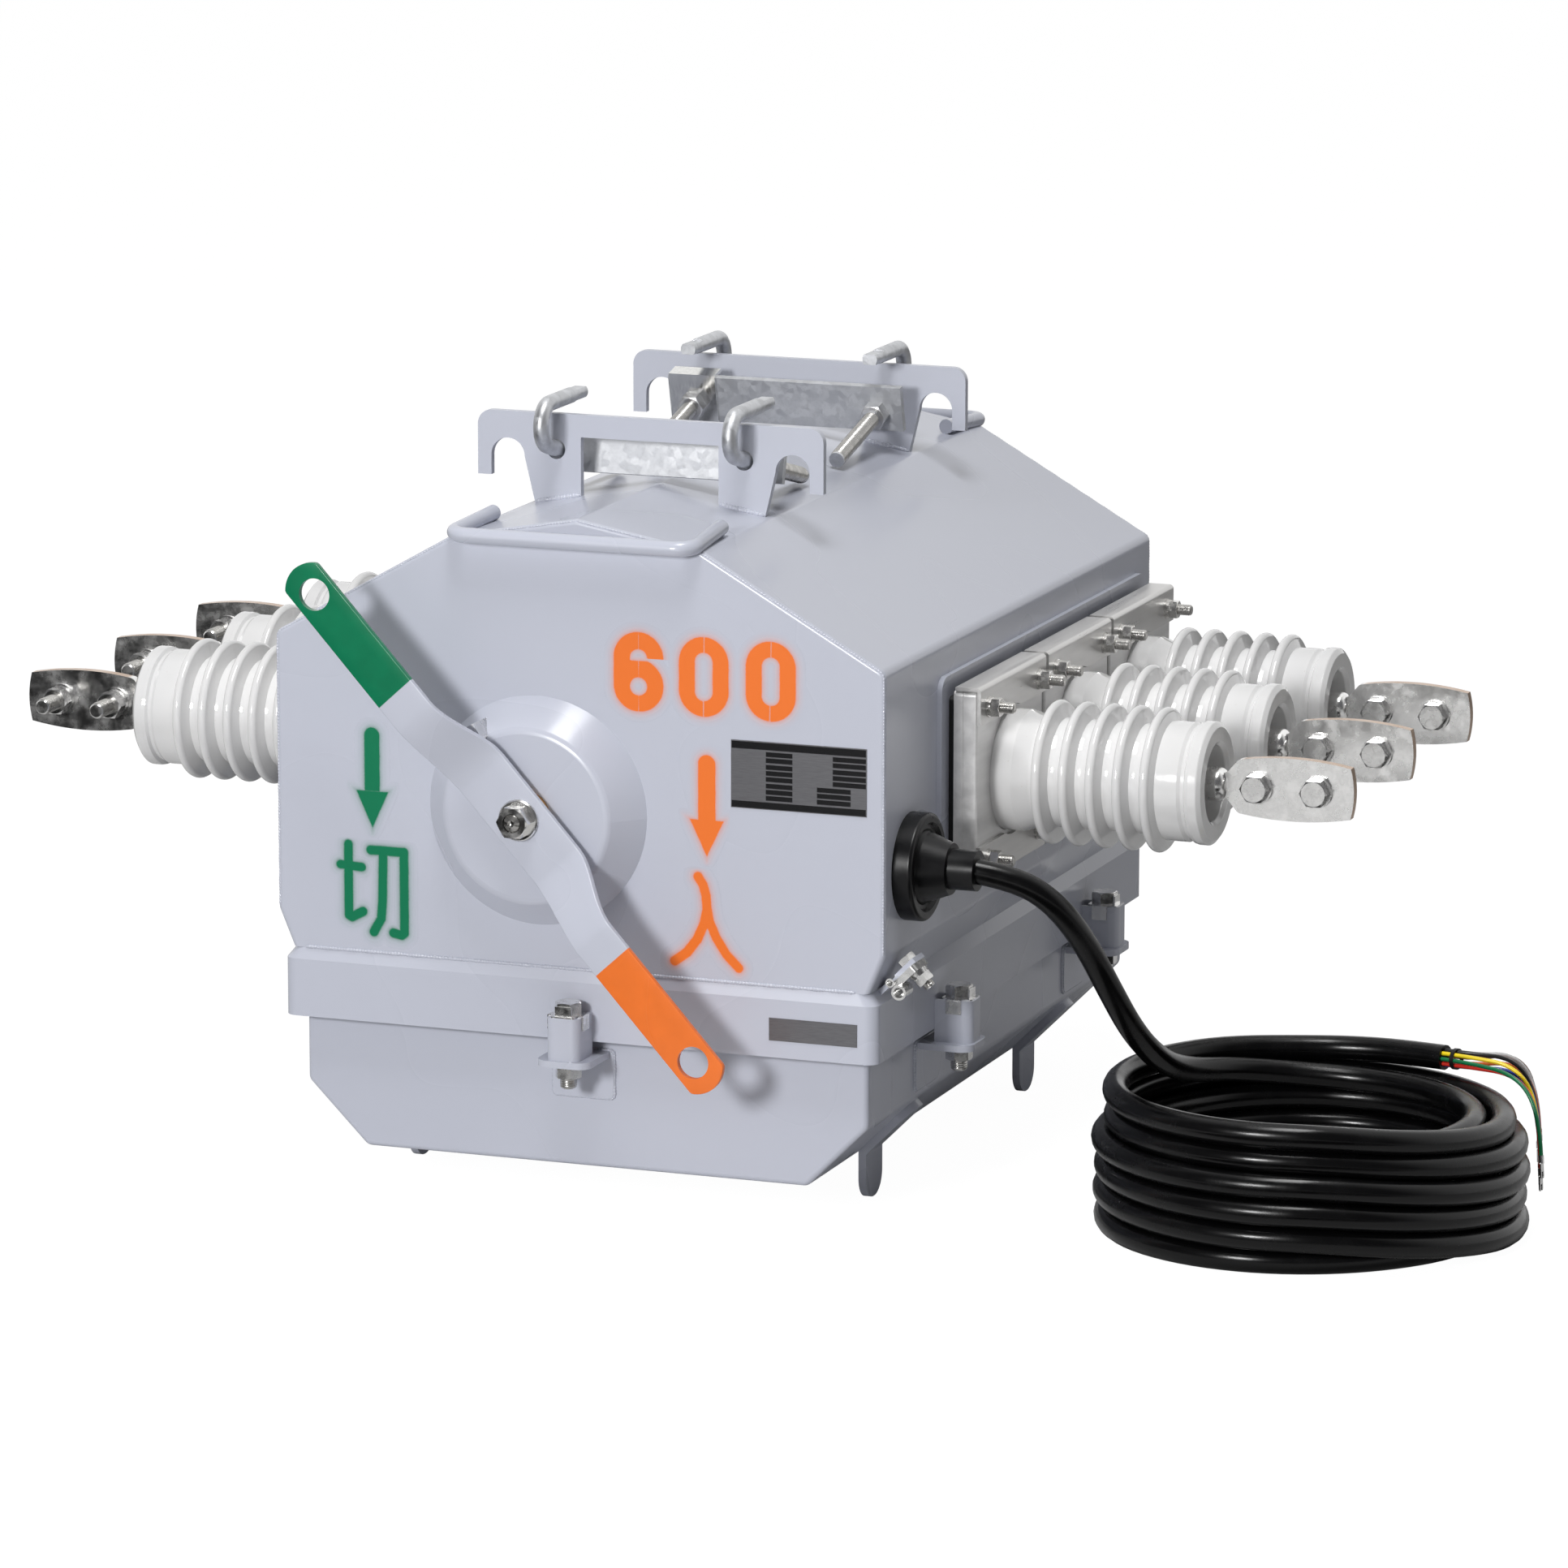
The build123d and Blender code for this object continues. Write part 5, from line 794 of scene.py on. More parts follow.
class SWITCH_OT_cores(bpy.types.Operator):
    """Lays the eight coloured cores from the sheath's end over the coil to their fork lugs"""

    bl_idname = "air_switch.cores"
    bl_label = "Cores"

    def execute(self, context):
        cable = context.scene.air_switch_cable
        heading = SHEATH_END - np.array(TAIL_ROUTE[-2])
        heading /= np.linalg.norm(heading)
        across = np.cross(heading, [0, 0, 1])
        across /= np.linalg.norm(across)
        up = np.cross(across, heading)
        first, last = np.array(CORE_ROUTES) + np.array(cable.coil_middle)
        count = len(CORE_ORDER)
        angles = [2 * math.pi * number / count for number in range(count)]
        # From the side of the first route to the side of the last, and upwards where two stand over each other
        order = sorted(
            range(count), key=lambda number: (-round(math.cos(angles[number]), 3), math.sin(angles[number])))
        for number, angle in enumerate(angles):
            place = order.index(number)
            share = place / (count - 1)
            offset = across * CORE_RING * math.cos(angle) + up * CORE_RING * math.sin(angle)
            spread = (1 - share) * first + share * last
            spread[0, 2] += 0.003 * math.sin(angle)
            spread[2, 2] += 0.008 * math.cos(3 * angle)
            points = np.array([SHEATH_END + offset, SHEATH_END + heading * 0.021 + offset, *spread])
            color = CORE_ORDER[place]
            finish = moulded(f"core_{color}", CORE_COLORS[color], 0.34)
            cord = cord_curve(f"core_wire_{color}", points, cable.core_diameter, finish)
            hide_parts("core_wires")
        return {"FINISHED"}


# Lever


def lever_half_width(along, lever):
    """Half the width at a distance along the arm: the hub's, eased to the arm's by 3t^2 - 2t^3, and past the end
    arc's middle the height of that arc, the root of its radius squared less the distance squared."""
    share = np.clip((np.abs(along) - lever.hub_reach) / lever.waist_length, 0, 1)
    width = lever.hub_half_width + (lever.arm_half_width - lever.hub_half_width) * share**2 * (3 - 2 * share)
    past = np.clip(np.abs(along) - (lever.reach - lever.end_radius), 0, lever.end_radius)
    return np.minimum(width, np.sqrt(lever.end_radius**2 - past**2))


def cut_holes(piece, holes, radius, ends):
    """Cuts round holes through a piece along Y, each by a closed tube between the two ends."""
    turn = np.linspace(0, 2 * np.pi, ROUND_STEPS, endpoint=False)
    near, far = list(range(ROUND_STEPS)), list(range(2 * ROUND_STEPS - 1, ROUND_STEPS - 1, -1))
    faces = grid_faces(2, ROUND_STEPS, False, True).tolist() + [near, far]
    for x, z in holes:
        ring = np.stack([x + radius * np.cos(turn), z + radius * np.sin(turn)], -1).tolist()
        mesh = bpy.data.meshes.new("hole")
        mesh.from_pydata([(across, y, up) for y in ends for across, up in ring], [], faces)
        mesh.update()
        inside = linked("hole", mesh)
        cut = piece.modifiers.new("hole", "BOOLEAN")
        cut.operation = "DIFFERENCE"
        cut.solver = "EXACT"
        cut.object = inside
        bpy.context.view_layer.update()
        drilled = bpy.data.meshes.new_from_object(piece.evaluated_get(bpy.context.evaluated_depsgraph_get()))
        piece.modifiers.clear()
        piece.data = drilled
        bpy.data.objects.remove(inside)


class SWITCH_OT_lever(bpy.types.Operator):
    """Forms the cranked lever: a flat bar whose middle line rises by 3t squared less 2t cubed over each bend"""

    bl_idname = "air_switch.lever"
    bl_label = "Lever"

    def execute(self, context):
        lever = context.scene.air_switch_lever
        tip = lever.reach - lever.end_radius + lever.end_radius * np.sin(np.linspace(0.2, np.pi / 2, 14))
        half = np.concatenate([np.linspace(0, lever.bend_start, 12, endpoint=False),
                               np.linspace(lever.bend_start, lever.bend_end, 40, endpoint=False),
                               np.linspace(lever.bend_end, tip[0], 16, endpoint=False), tip])
        along = np.concatenate([-half[:0:-1], half])
        share = np.clip((np.abs(along) - lever.bend_start) / (lever.bend_end - lever.bend_start), 0, 1)
        rise = lever.rise * share**2 * (3 - 2 * share)
        slope = np.gradient(rise, along)
        lean = np.stack([-slope, np.ones_like(slope)], -1) / np.sqrt(1 + slope**2)[:, None]
        # A quarter of the section, round the edge and in over the flat: the share of the width, how far inside it,
        # and the height. Then the whole section from the quarter's mirror images
        thick, edge = lever.thickness / 2, lever.edge_radius
        turn = np.linspace(0, np.pi / 2, 5)
        spread = np.concatenate([np.ones(6), [0.5]])
        inset = np.concatenate([edge * np.cos(turn) - edge, [-edge, -edge]])
        level = np.concatenate([edge * np.sin(turn) - edge + thick, [thick, thick]])
        spread = np.concatenate([spread, -spread[::-1], -spread, spread[::-1]])
        inset = np.concatenate([inset, -inset[::-1], -inset, inset[::-1]])
        level = np.concatenate([level, level[::-1], -level, -level[::-1]])
        width = lever_half_width(along, lever)[:, None]
        ease = np.clip(width / (2 * edge), 0, 1)
        across = width * spread + inset * ease
        run = along[:, None] + lean[:, :1] * level
        height = rise[:, None] + lean[:, 1:] * level
        middle_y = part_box("operating_lever")[1].y - lever.thickness / 2
        direction = np.array([math.cos(LEVER_ANGLE), 0, math.sin(LEVER_ANGLE)])
        sideways = np.array([-direction[2], 0, direction[0]])
        points = (np.array([PIVOT[0], middle_y, PIVOT[1]]) + run[..., None] * direction
                  + across[..., None] * sideways - height[..., None] * np.array([0, 1, 0]))
        finish = lever_paint(context.scene.air_switch_paints)
        piece = piece_of("cranked_lever", [points], "handle", finish, wrap_rows=False)
        # The section narrows to a line at each end, where the two sides are joined before the holes are cut
        joined = bmesh.new()
        joined.from_mesh(piece.data)
        bmesh.ops.remove_doubles(joined, verts=joined.verts, dist=0.00001)
        bmesh.ops.dissolve_degenerate(joined, edges=joined.edges, dist=0.000001)
        bmesh.ops.holes_fill(joined, edges=joined.edges, sides=0)
        bmesh.ops.recalc_face_normals(joined, faces=joined.faces)
        joined.to_mesh(piece.data)
        joined.free()
        holes = [np.array([PIVOT[0], 0, PIVOT[1]]) + way * lever.hole_reach * direction for way in (-1, 1)]
        cut_holes(piece, [(place[0], place[2]) for place in holes], lever.hole_radius, (-0.40, -0.34))
        piece.data.set_sharp_from_angle(angle=math.radians(35))
        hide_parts("operating_lever")
        return {"FINISHED"}


# Finishes of the CAD nodes


class SWITCH_OT_finishes(bpy.types.Operator):
    """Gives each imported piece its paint, glaze, metal or rubber"""

    bl_idname = "air_switch.finishes"
    bl_label = "Finishes"

    def execute(self, context):
        paints = context.scene.air_switch_paints
        case = gloss_paint("case_gloss", tuple(paints.case_color))[0]
        give(["lid", "tank", "legs", "clamp_loops", "tank_lugs", "carrying_rods"], case)
        plates = gloss_paint("hanger_gloss", (0.49, 0.507, 0.575), 0.34)[0]
        give(["hanger_plate_front", "hanger_plate_rear"], plates)
        white = porcelain(paints)
        give([f"bushing_{side}_{number}" for side in ("left", "right") for number in (1, 2, 3)], white)
        give(["flange_back_plates", "flange_front_plates"],
             brushed_metal("rolled_stainless", (0.74, 0.735, 0.73), 0.36, (150, 9, 150), 0.0, 0.45))
        give(["retaining_strips"],
             brushed_metal("folded_stainless", (0.66, 0.652, 0.64), 0.34, (150, 9, 150), 0.0, 0.7))
        give(["hook_bolts"], hot_dip_zinc("hot_dip_zinc", (0.62, 0.63, 0.65), 0.46))
        give(["clamp_bars"], hot_dip_zinc("flat_zinc", (0.57, 0.58, 0.60), 0.58, 230.0, 0.8))
        give(["hook_nuts"], hot_dip_zinc("zinc_nut", (0.66, 0.66, 0.67), 0.36))
        give(["bar_saddle"], brushed_metal("bright_saddle", (0.82, 0.82, 0.80), 0.16, (500, 500, 40)))
        give(["terminal_bolts", "terminal_nuts", "terminal_washers", "clamp_bolts", "clamp_nuts", "tab_washers",
              "lever_nut", "earth_fasteners"], bright_fastener("bright_fastener", (0.80, 0.795, 0.785), 0.2))
        give(["flange_nuts", "flange_washers"], bright_fastener("flange_fastener", (0.73, 0.72, 0.70), 0.19))
        give(["flange_studs"], bright_fastener("stud_steel", (0.50, 0.49, 0.47), 0.25))
        give([f"terminal_{side}_{number}" for side in ("left", "right") for number in (1, 2, 3)], tinned_palm())
        give(["core_lugs", "earth_lugs"], bright_fastener("tinned_lug", (0.84, 0.84, 0.83), 0.2))
        give(["shaft_bush"], bare_metal("turned_brass", (0.62, 0.34, 0.12), 0.28))
        give(["moving_blades", "fixed_contacts"], bare_metal("contact_copper", (0.72, 0.36, 0.20), 0.24))
        give(["stop_block"], hot_dip_zinc("stop_zinc", (0.72, 0.72, 0.73), 0.34))
        give(["operating_shaft", "drive_link", "bearing_hangers"],
             hot_dip_zinc("dark_zinc", (0.30, 0.30, 0.31), 0.4))
        give(["rotor", "arc_chutes", "current_transformer"], moulded("red_resin", (0.20, 0.055, 0.03), 0.42))
        give(["case_seal", "bushing_seals"], rubber("seal_rubber", (0.012, 0.012, 0.013), 0.5, 900.0, 0.0))
        give(["cable_gland"], rubber("gland_rubber", (0.003, 0.003, 0.0035), 0.26, 260.0, 0.0))
        give(["core_tie"], rubber("tie_tape", (0.008, 0.008, 0.008), 0.35, 700.0, 0.1))
        return {"FINISHED"}


# Sprayed marks: shapes on the case's front in millimetres, as X and Z of the frame


# A distance that is outside every shape
FAR = 99.0


def box_distance(x, z, half_x, half_z, radius):
    """Distance from a rounded rectangle's edge, negative inside: the length of what is past the inner box,
    less the corner's radius."""
    past_x, past_z = np.abs(x) - half_x + radius, np.abs(z) - half_z + radius
    outside = np.hypot(np.maximum(past_x, 0), np.maximum(past_z, 0))
    return outside + np.minimum(np.maximum(past_x, past_z), 0) - radius


def stroke_distance(x, z, points, half):
    """Distance from a brush stroke's edge, negative inside: the least distance to its runs, less half its width."""
    nearest = np.full(x.shape, np.inf)
    for (ax, az), (bx, bz) in zip(points, points[1:]):
        run_x, run_z = bx - ax, bz - az
        share = np.clip(((x - ax) * run_x + (z - az) * run_z) / (run_x**2 + run_z**2), 0, 1)
        nearest = np.minimum(nearest, np.hypot(x - ax - share * run_x, z - az - share * run_z))
    return nearest - half


def arrow_distance(x, z, top, shoulder, tip, half_shaft, half_head):
    """Distance from a downward arrow's edge: the nearer of a round-topped shaft and a triangle."""
    shaft = stroke_distance(x, z, [(0, top - half_shaft), (0, shoulder)], half_shaft)
    shaft = np.where(z < shoulder, FAR, shaft)
    slope = half_head / (shoulder - tip)
    sides = (np.abs(x) - (z - tip) * slope) / math.hypot(1, slope)
    return np.minimum(shaft, np.maximum(sides, z - shoulder))


def ring_digit(x, z):
    """Distance from a stencilled nought: outside the inner slot and inside the outer one."""
    return np.maximum(box_distance(x, z, 19.4, 29.5, 19.3), -box_distance(x, z, 6.9, 17.8, 6.8))


def six_digit(x, z):
    """Distance from a stencilled six: an outer slot whose right side is a round bowl below its arm, less a round
    counter and the arch between the bowl and the arm."""
    outline = box_distance(x, z, 19.5, 29.5, 19.4)
    bowl = np.hypot(x, z + 10.0) - 19.5
    shape = np.where((x > 0) & (z < 10.2), bowl, outline)
    counter = np.hypot(x, z + 10.8) - 6.7
    arch = np.maximum(box_distance(x, z - 10.0, 6.7, 6.8, 6.7), 8.3 - z)
    return np.maximum(shape, -np.minimum(counter, arch))


def number_shape(x, z):
    """The plain number: a six and two noughts side by side, with hairline bridges."""
    digits = [six_digit(x - 49.1, z - 413.4), ring_digit(x - 100.0, z - 413.1), ring_digit(x - 152.0, z - 413.1)]
    bridges = np.min([np.abs(x - 49.1) + 0.25, np.abs(x - 100.0 - 0.01 * (z - 413)),
                      np.abs(x - 151.8 - 0.02 * (z - 413))], 0)
    return np.maximum(np.min(digits, 0), 0.30 - bridges)


def on_shape(x, z):
    """The mark for on: one stroke that leans over a second."""
    left = [(95.4, 264.3), (99.3, 258.5), (101.7, 250.5), (102.4, 240.0), (100.3, 229.5), (94.8, 217.5),
            (86.8, 207.0), (77.0, 199.8)]
    right = [(102.3, 242.0), (104.4, 231.5), (109.6, 219.5), (117.6, 207.6), (127.2, 198.3)]
    return np.minimum(stroke_distance(x, z, left, 3.7), stroke_distance(x, z, right, 3.6))


def off_shape(x, z):
    """The mark for off: an upright with a bar and a foot, beside a hooked frame with a stroke inside it."""
    strokes = [
        ([(-182.6, 267.6), (-182.6, 213.8), (-180.0, 212.6), (-171.2, 217.4)], 3.7),
        ([(-189.0, 251.9), (-171.9, 251.0)], 3.5),
        ([(-164.6, 264.6), (-137.9, 264.6), (-137.9, 203.5), (-140.2, 201.6), (-146.8, 202.8)], 3.7),
        ([(-154.6, 263.0), (-155.4, 226.0), (-156.6, 212.8), (-162.6, 202.4)], 3.7),
    ]
    return np.min([stroke_distance(x, z, points, half) for points, half in strokes], 0)


def mark_paint(name, color, case_color):
    """Case paint that turns to the mark's colour by how much spray each point of the grid caught."""
    made, tree, shader, tone = gloss_paint(name, case_color)
    spray = node(tree, "Attribute", attribute_name="spray").outputs["Fac"]
    mist = noise(tree, object_coordinates(tree), 2300.0, 2.0)
    thin = between(tree, mist, 0.25, 0.75, -0.22, 0.22)
    weight = node(tree, "Math", {0: spray, 1: thin}, operation="ADD").outputs[0]
    middle = between(tree, spray, 0.02, 0.25, 0, 1)
    weight = node(tree, "Math", {0: between(tree, weight, 0.2, 0.7, 0, 1), 1: middle}, operation="MULTIPLY")
    weight = node(tree, "Math", {0: weight.outputs[0], 1: between(tree, spray, 0, 0.8, 0, 1)}, operation="MAXIMUM")
    tree.links.new(blend_colors(tree, weight.outputs[0], tone, color), shader.inputs["Base Color"])
    tree.links.new(between(tree, spray, 0, 1, 0.27, 0.32), shader.inputs["Roughness"])
    return made


def sheet_piece(name, points, values, layer, least, finish, smooth=True):
    """A sheet fixed to the case's front: a grid of points with a value at each, kept only in the cells where a
    corner's value is over the least one, and turned to face forwards."""
    rows, columns = points.shape[:2]
    flat, values = points.reshape(-1, 3), values.ravel()
    quads = grid_faces(rows, columns, False, False)
    quads = quads[values[quads].max(1) > least]
    used, quads = np.unique(quads, return_inverse=True)
    quads = quads.reshape(-1, 4)
    flat, values = flat[used], values[used]
    corners = flat[quads]
    if np.cross(corners[:, 1] - corners[:, 0], corners[:, 3] - corners[:, 0])[:, 1].sum() > 0:
        quads = quads[:, ::-1]
    mesh = bpy.data.meshes.new(name)
    mesh.from_pydata(flat.tolist(), [], quads.tolist())
    mesh.polygons.foreach_set("use_smooth", np.full(len(mesh.polygons), smooth))
    mesh.attributes.new(layer, "FLOAT", "POINT").data.foreach_set("value", values.astype(np.float32))
    mesh.update()
    piece = linked(name, mesh)
    mesh.materials.append(finish)
    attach(piece, "housing")


def sprayed_mark(name, shape, low, high, softness, finish, marks):
    """A flat grid just off the case's front: each point's spray falls from one to nothing across the edge of a
    shape, which wanders by sines and at random, and a thin mist falls off by the exponential of the distance
    from it. Both end a little inside the grid."""
    wander_depth, mist_reach, mist_least, border = 0.16, 2.4, 0.012, 2.5
    step = marks.cell * MM
    x, z = np.meshgrid(
        np.arange(low[0], high[0] + step, step), np.arange(low[1], high[1] + step, step), indexing="ij")
    random = np.random.default_rng(5)
    wander = 0.5 * np.sin(x / 3.1 + 1.3) * np.sin(z / 2.7) + 0.4 * random.standard_normal(x.shape)
    distance = shape(x, z) + wander_depth * wander
    core = np.clip(0.5 - distance / (2 * softness), 0, 1)
    core = core * core * (3 - 2 * core)
    mist = marks.overspray * np.exp(-np.maximum(distance, 0) / mist_reach) * (0.75 + 0.25 * random.random(x.shape))
    edge = np.minimum(np.minimum(x - low[0], high[0] - x), np.minimum(z - low[1], high[1] - z))
    spray = np.maximum(core, np.maximum(mist - mist_least, 0) * np.clip(edge / border, 0, 1))
    points = np.stack([x / MM, np.full(x.shape, FRONT_Y - marks.stand_off), z / MM], -1)
    sheet_piece(name, points, spray, "spray", 0.004, finish)


class SWITCH_OT_marks(bpy.types.Operator):
    """Sprays the number, the arrows and the marks for on and off on the case's front"""

    bl_idname = "air_switch.marks"
    bl_label = "Sprayed marks"

    def execute(self, context):
        scene = context.scene
        marks, paints = scene.air_switch_marks, scene.air_switch_paints
        case = tuple(paints.case_color)
        orange = mark_paint("sprayed_orange", tuple(paints.on_color), case)
        green = mark_paint("sprayed_green", tuple(paints.off_color), case)

        def on_arrow(x, z):
            return arrow_distance(x - 102.3, z, 355.3, 307.0, 279.8, 6.8, 13.3)

        def off_arrow(x, z):
            return arrow_distance(x + 162.9, z, 357.4, 309.4, 281.1, 6.2, 13.0)

        sprayed_mark("number_mark", number_shape, (20, 375), (180.5, 452), 1.0, orange, marks)
        sprayed_mark("on_arrow", on_arrow, (80, 272), (121, 364), 1.0, orange, marks)
        sprayed_mark("on_mark", on_shape, (64, 187.6), (140, 271.5), 1.4, orange, marks)
        sprayed_mark("off_arrow", off_arrow, (-184.5, 273.5), (-141.5, 366), 1.6, green, marks)
        sprayed_mark("off_mark", off_shape, (-200.5, 190), (-126, 273), 1.9, green, marks)
        return {"FINISHED"}


# Plates


def plate_metal():
    """Printed aluminium: black enamel where the print attribute is high and satin metal where it is low."""
    made, tree, shader = material("printed_plate", (0.6, 0.6, 0.6), 0.35)
    printed = node(tree, "Attribute", attribute_name="print").outputs["Fac"]
    grain = noise(tree, object_coordinates(tree, (120, 1, 2600)), 1.0, 2.0)
    metal = blend_colors(tree, between(tree, grain, 0.3, 0.7, 0, 1), (0.15, 0.15, 0.16), (0.19, 0.19, 0.20))
    tree.links.new(blend_colors(tree, printed, metal, (0.009, 0.009, 0.010)), shader.inputs["Base Color"])
    tree.links.new(between(tree, printed, 0, 1, 0.85, 0.0), shader.inputs["Metallic"])
    tree.links.new(between(tree, printed, 0, 1, 0.38, 0.22), shader.inputs["Roughness"])
    return made


def bare_plate(name, low, high, face_y, thickness, fields, finish):
    """A thin plate: a grid whose outer rows drop back to the case, printed where a field's rectangle holds."""
    step, margin, least_gap = 0.45, 0.25, 0.2
    x, z = np.meshgrid(*(
        np.concatenate([[start, start], np.arange(start + margin, end - least_gap, step), [end, end]])
        for start, end in zip(low, high)), indexing="ij")
    depth = np.full(x.shape, thickness)
    depth[[0, -1], :] = 0
    depth[:, [0, -1]] = 0
    printed = np.zeros(x.shape)
    for left, bottom, right, top in fields:
        printed[(x >= left) & (x <= right) & (z >= bottom) & (z <= top)] = 1
    points = np.stack([x / MM, face_y - depth, z / MM], -1)
    sheet_piece(name, points, printed, "print", -1, finish, smooth=False)


class SWITCH_OT_plates(bpy.types.Operator):
    """Fixes the blank rating plate on the front and the small blank plate on the skirt"""

    bl_idname = "air_switch.plates"
    bl_label = "Plates"

    def execute(self, context):
        # A dark bar along the top and the bottom, and rows of two plain dark boxes between them, in millimetres
        fields = [(121.9, 362.4, 225.8, 367.9), (121.9, 318.7, 225.8, 323.7)]
        first_top, pitch, height, upper_rows = 361.0, 4.65, 3.6, 5
        for row in range(8):
            top = first_top - pitch * row
            left, right = (200.2, 225.8) if row < upper_rows else (188.0, 214.2)
            fields += [(148.2, top - height, 169.0, top), (left, top - height, right, top)]
        finish, thickness = plate_metal(), 0.0004
        bare_plate("rating_plate", (121.3, 318.2), (226.4, 368.5), FRONT_Y, thickness, fields, finish)
        bare_plate("skirt_plate", (152, 147), (220.5, 164), SKIRT_Y, thickness, [], finish)
        return {"FINISHED"}


# Threads and welds


# Radius and pitch of the small and the large threads
SMALL_THREAD = (0.004, 0.00125)
LARGE_THREAD = (0.006, 0.00175)


class SWITCH_OT_threads(bpy.types.Operator):
    """Cuts threads on the studs, bolts and hooks where they show past their nuts"""

    bl_idname = "air_switch.threads"
    bl_label = "Threads"

    def execute(self, context):
        finish = bright_fastener("thread_steel", (0.50, 0.49, 0.47), 0.24)
        studs, terminals, clamps, hooks = [], [], [], []

        def thread(start, direction, length, size=LARGE_THREAD):
            depth = context.scene.air_switch_details.thread_depth * (1 if size == LARGE_THREAD else 0.75)
            return thread_sleeve(start, direction, size[0], length, size[1], depth)

        droop = math.radians(14.1)
        for side in (-1, 1):
            for phase in PHASES_Y:
                for step in (-STUD_REACH, STUD_REACH):
                    for rise in (-STUD_REACH, STUD_REACH):
                        start = (side * 0.2805, phase + step, BUSHING_Z + rise)
                        studs.append(thread(start, (side, 0, 0), 0.0100, SMALL_THREAD))
                for reach in (0.4615, 0.5073):
                    start = (side * reach, phase + side * 0.0190, BUSHING_Z)
                    terminals.append(thread(start, (0, side, 0), 0.0210))
            # Each side has two clamps, and the front and the back have one each
            for x, y in ((side * 0.250, -0.172), (side * 0.250, 0.172), (0, side * 0.328)):
                clamps.append(thread((x, CASE_Y + y, 0.1096), (0, 0, -1), 0.0070))
            for x in (-0.075, 0.075):
                direction = (0, -side * math.cos(droop), -math.sin(droop))
                hooks.append(thread((x, CASE_Y + side * 0.1170, 0.5374), direction, 0.0795))
        earth = np.array([0.24764, -0.264, 0.20764]) + 0.0212 * np.array([1, 0, -1]) / math.sqrt(2)
        clamps.append(thread(earth, (1, 0, -1), 0.0042, SMALL_THREAD))
        # The shaft's end in its nut: a cone with a centre hole, as radius and reach in millimetres
        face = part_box("lever_nut")[0].y + 0.0008
        cone = turned([(0, -2.0), (6.7, -2.0), (6.7, 0), (6.0, 0.7), (2.6, 2.6), (1.2, 1.9), (0, 1.6)],
                      (PIVOT[0], face, PIVOT[1]), (0, -1, 0))
        piece_of("shaft_end", [cone], "handle", finish, wrap_rows=False, smooth=False)
        for name, sleeves in (("stud_threads", studs), ("terminal_threads", terminals),
                              ("clamp_threads", clamps), ("hook_threads", hooks)):
            piece_of(name, sleeves, "housing", finish)
        return {"FINISHED"}


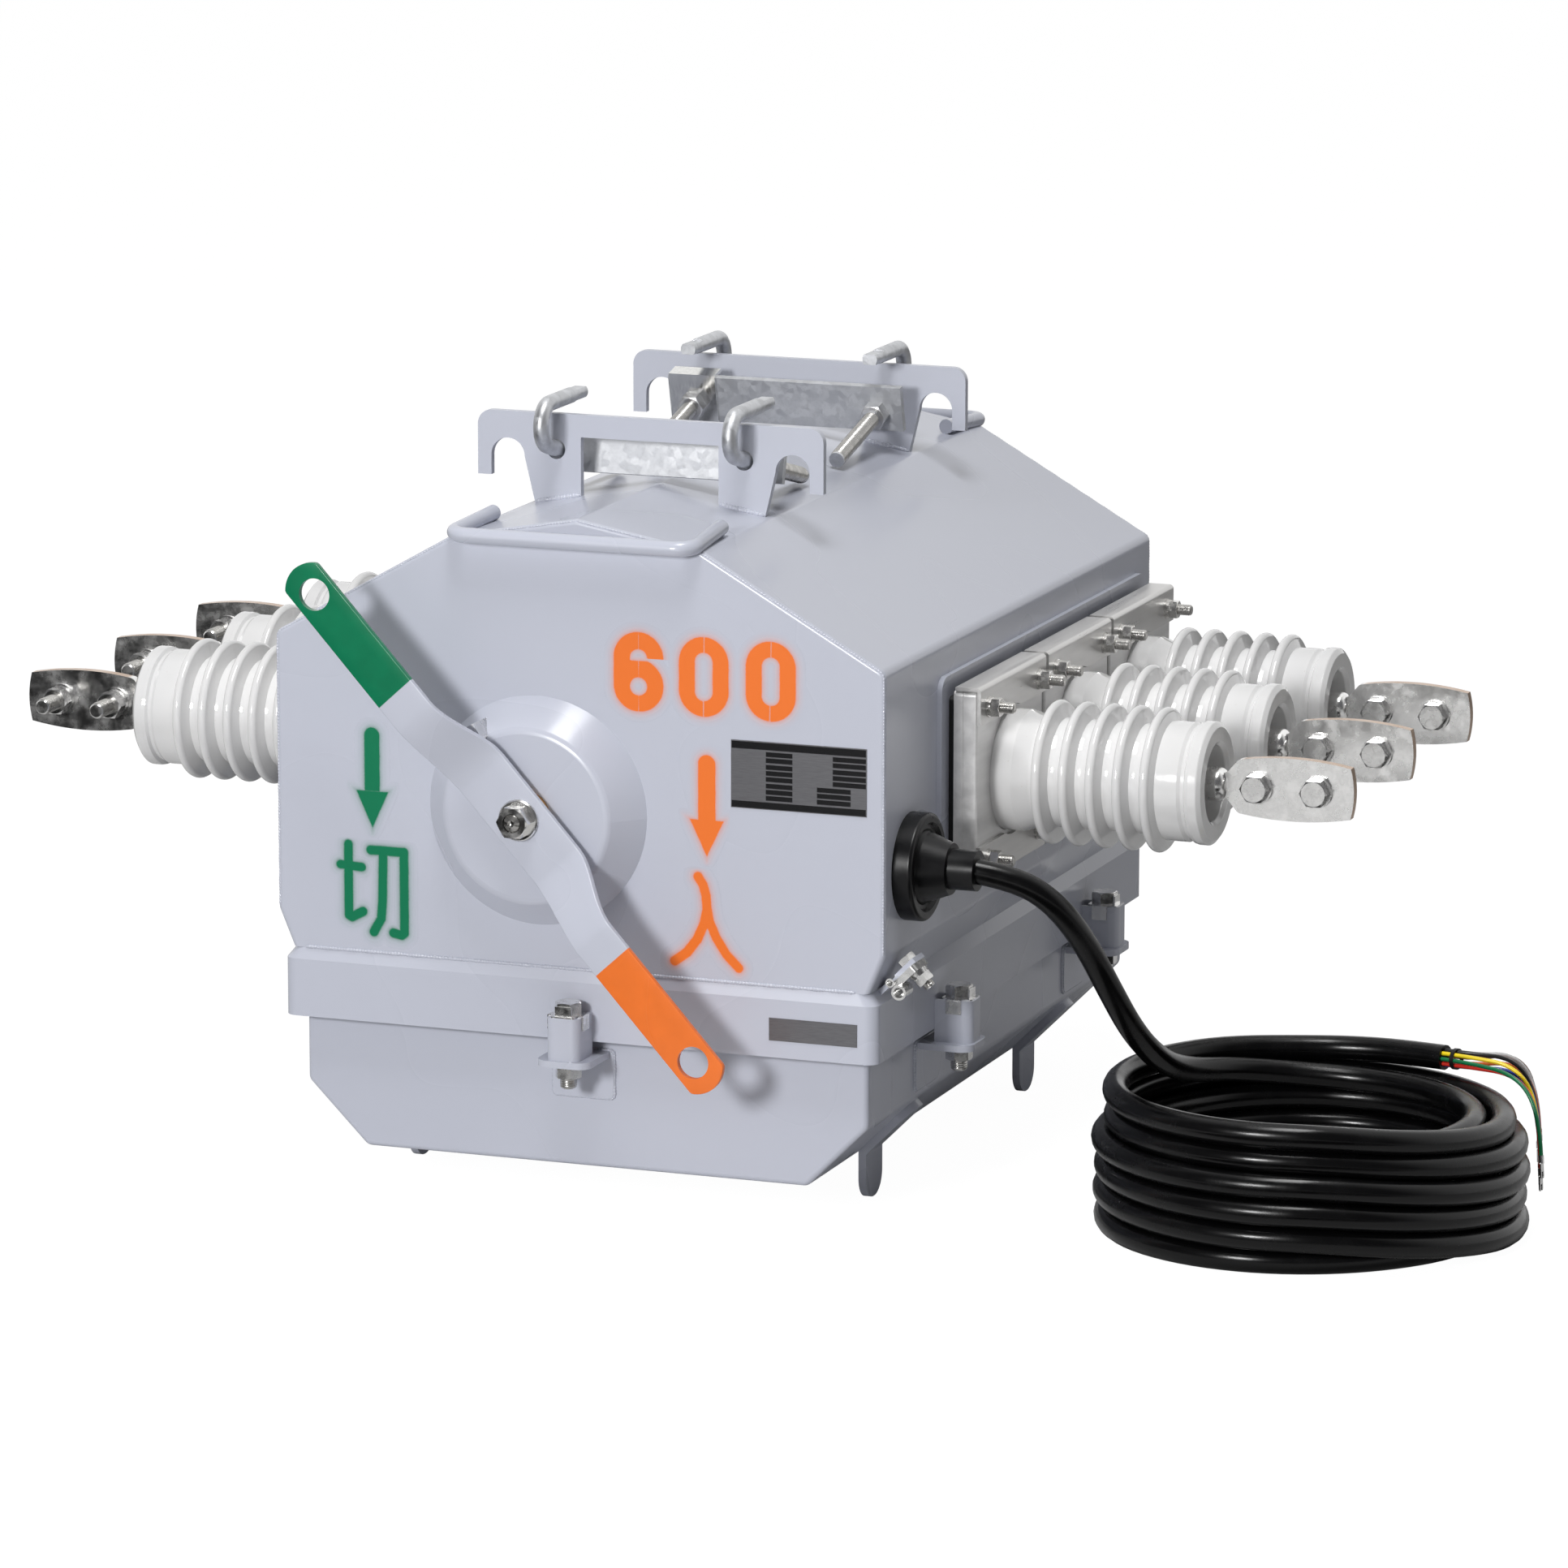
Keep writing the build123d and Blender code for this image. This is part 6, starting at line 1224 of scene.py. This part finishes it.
class SWITCH_OT_welds(bpy.types.Operator):
    """Lays the painted weld beads along the gable edges, the hanger plates' feet and the lug pads"""

    bl_idname = "air_switch.welds"
    bl_label = "Welds"

    def execute(self, context):
        scene = context.scene
        details = scene.air_switch_details
        paint = gloss_paint("weld_gloss", tuple(scene.air_switch_paints.case_color), 0.2)[0]
        step = details.bead_ripple / 5
        corner_radius, pad_half, pad_low, pad_high = 0.004, 0.0242, 0.088, 0.1246
        feet, pads, edges = [], [], []

        def bead(line, share, normal, closed=False):
            return bead_along(line, share * details.bead_radius, details.bead_ripple, closed, normal)

        def pad(x, y, half_x, half_y, normal):
            corners = [(x + way * half_x, y + way * half_y, z)
                       for way, z in ((-1, pad_low), (1, pad_low), (1, pad_high), (-1, pad_high))]
            return bead(rounded_outline(corners, corner_radius, step, True)[:-1], 0.62, normal, True)

        for side in (-1, 1):
            for plate_y in (CASE_Y - 0.159, CASE_Y + 0.159):
                for face in (-1, 1):
                    y = plate_y + face * 0.0032
                    corners = [(side * 0.0555, y, 0.5140), (side * 0.0915, y, 0.5076)]
                    feet.append(bead(divided(corners, step), 1, (0, 0, 1)))
            # Half of the gable, from the skirt over the eaves and the slope to the ridge
            corners = [(side * 0.2386, 0, 0.2160), (side * 0.2386, 0, 0.4241), (side * 0.0970, 0, 0.5044),
                       (0, 0, 0.5218)]
            gable = rounded_outline(corners, corner_radius, step)
            for face in (-1, 1):
                edges.append(bead(gable + [0, CASE_Y + face * 0.3086, 0], 0.45, (0, face, 0)))
            for y in (CASE_Y - 0.172, CASE_Y + 0.172):
                pads.append(pad(side * 0.2232, y, 0, pad_half, (1, 0, 0)))
            pads.append(pad(0, CASE_Y + side * 0.2972, pad_half, 0, (0, 1, 0)))
            # Where the skirt leaves the front and the back
            y = CASE_Y + side * 0.3100
            feet.append(bead(divided([(-0.2180, y, 0.1872), (0.2180, y, 0.1872)], step), 0.6, (0, 0, 1)))
        for name, beads in (("foot_welds", feet), ("edge_welds", edges)):
            piece_of(name, beads, "housing", paint, wrap_rows=False)
        piece_of("pad_welds", pads, "housing", paint)
        return {"FINISHED"}


class SWITCH_PT_panel(bpy.types.Panel):
    """Lists the steps that dress the switch"""

    bl_idname = "SWITCH_PT_panel"
    bl_label = "Pole air switch"
    bl_space_type = "VIEW_3D"
    bl_region_type = "UI"
    bl_category = "Air switch"

    def draw(self, context):
        column = self.layout.column(align=True)
        for step in OPERATORS:
            column.operator(step.bl_idname)
        for name in GROUPS:
            box = self.layout.box()
            group = getattr(context.scene, name)
            for key in group.bl_rna.properties.keys():
                if key not in ("rna_type", "name"):
                    box.prop(group, key)


GROUPS = {
    "air_switch_paints": PaintSettings,
    "air_switch_cable": CableSettings,
    "air_switch_lever": LeverSettings,
    "air_switch_marks": MarkSettings,
    "air_switch_details": DetailSettings,
    "air_switch_stage": StageSettings,
}
OPERATORS = (
    SWITCH_OT_stage, SWITCH_OT_cable, SWITCH_OT_cores, SWITCH_OT_lever, SWITCH_OT_finishes,
    SWITCH_OT_marks, SWITCH_OT_plates, SWITCH_OT_threads, SWITCH_OT_welds,
)


def register():
    """Registers the settings, the steps and the panel."""
    for name, group in GROUPS.items():
        bpy.utils.register_class(group)
        setattr(bpy.types.Scene, name, bpy.props.PointerProperty(type=group))
    for step in OPERATORS:
        bpy.utils.register_class(step)
    bpy.utils.register_class(SWITCH_PT_panel)


def unregister():
    """Removes what register added."""
    bpy.utils.unregister_class(SWITCH_PT_panel)
    for step in OPERATORS:
        bpy.utils.unregister_class(step)
    for name, group in GROUPS.items():
        delattr(bpy.types.Scene, name)
        bpy.utils.unregister_class(group)


def main():
    """Dresses the switch step by step."""
    register()
    for step in OPERATORS:
        area, name = step.bl_idname.split(".")
        getattr(getattr(bpy.ops, area), name)()


if __name__ == "__main__":
    main()
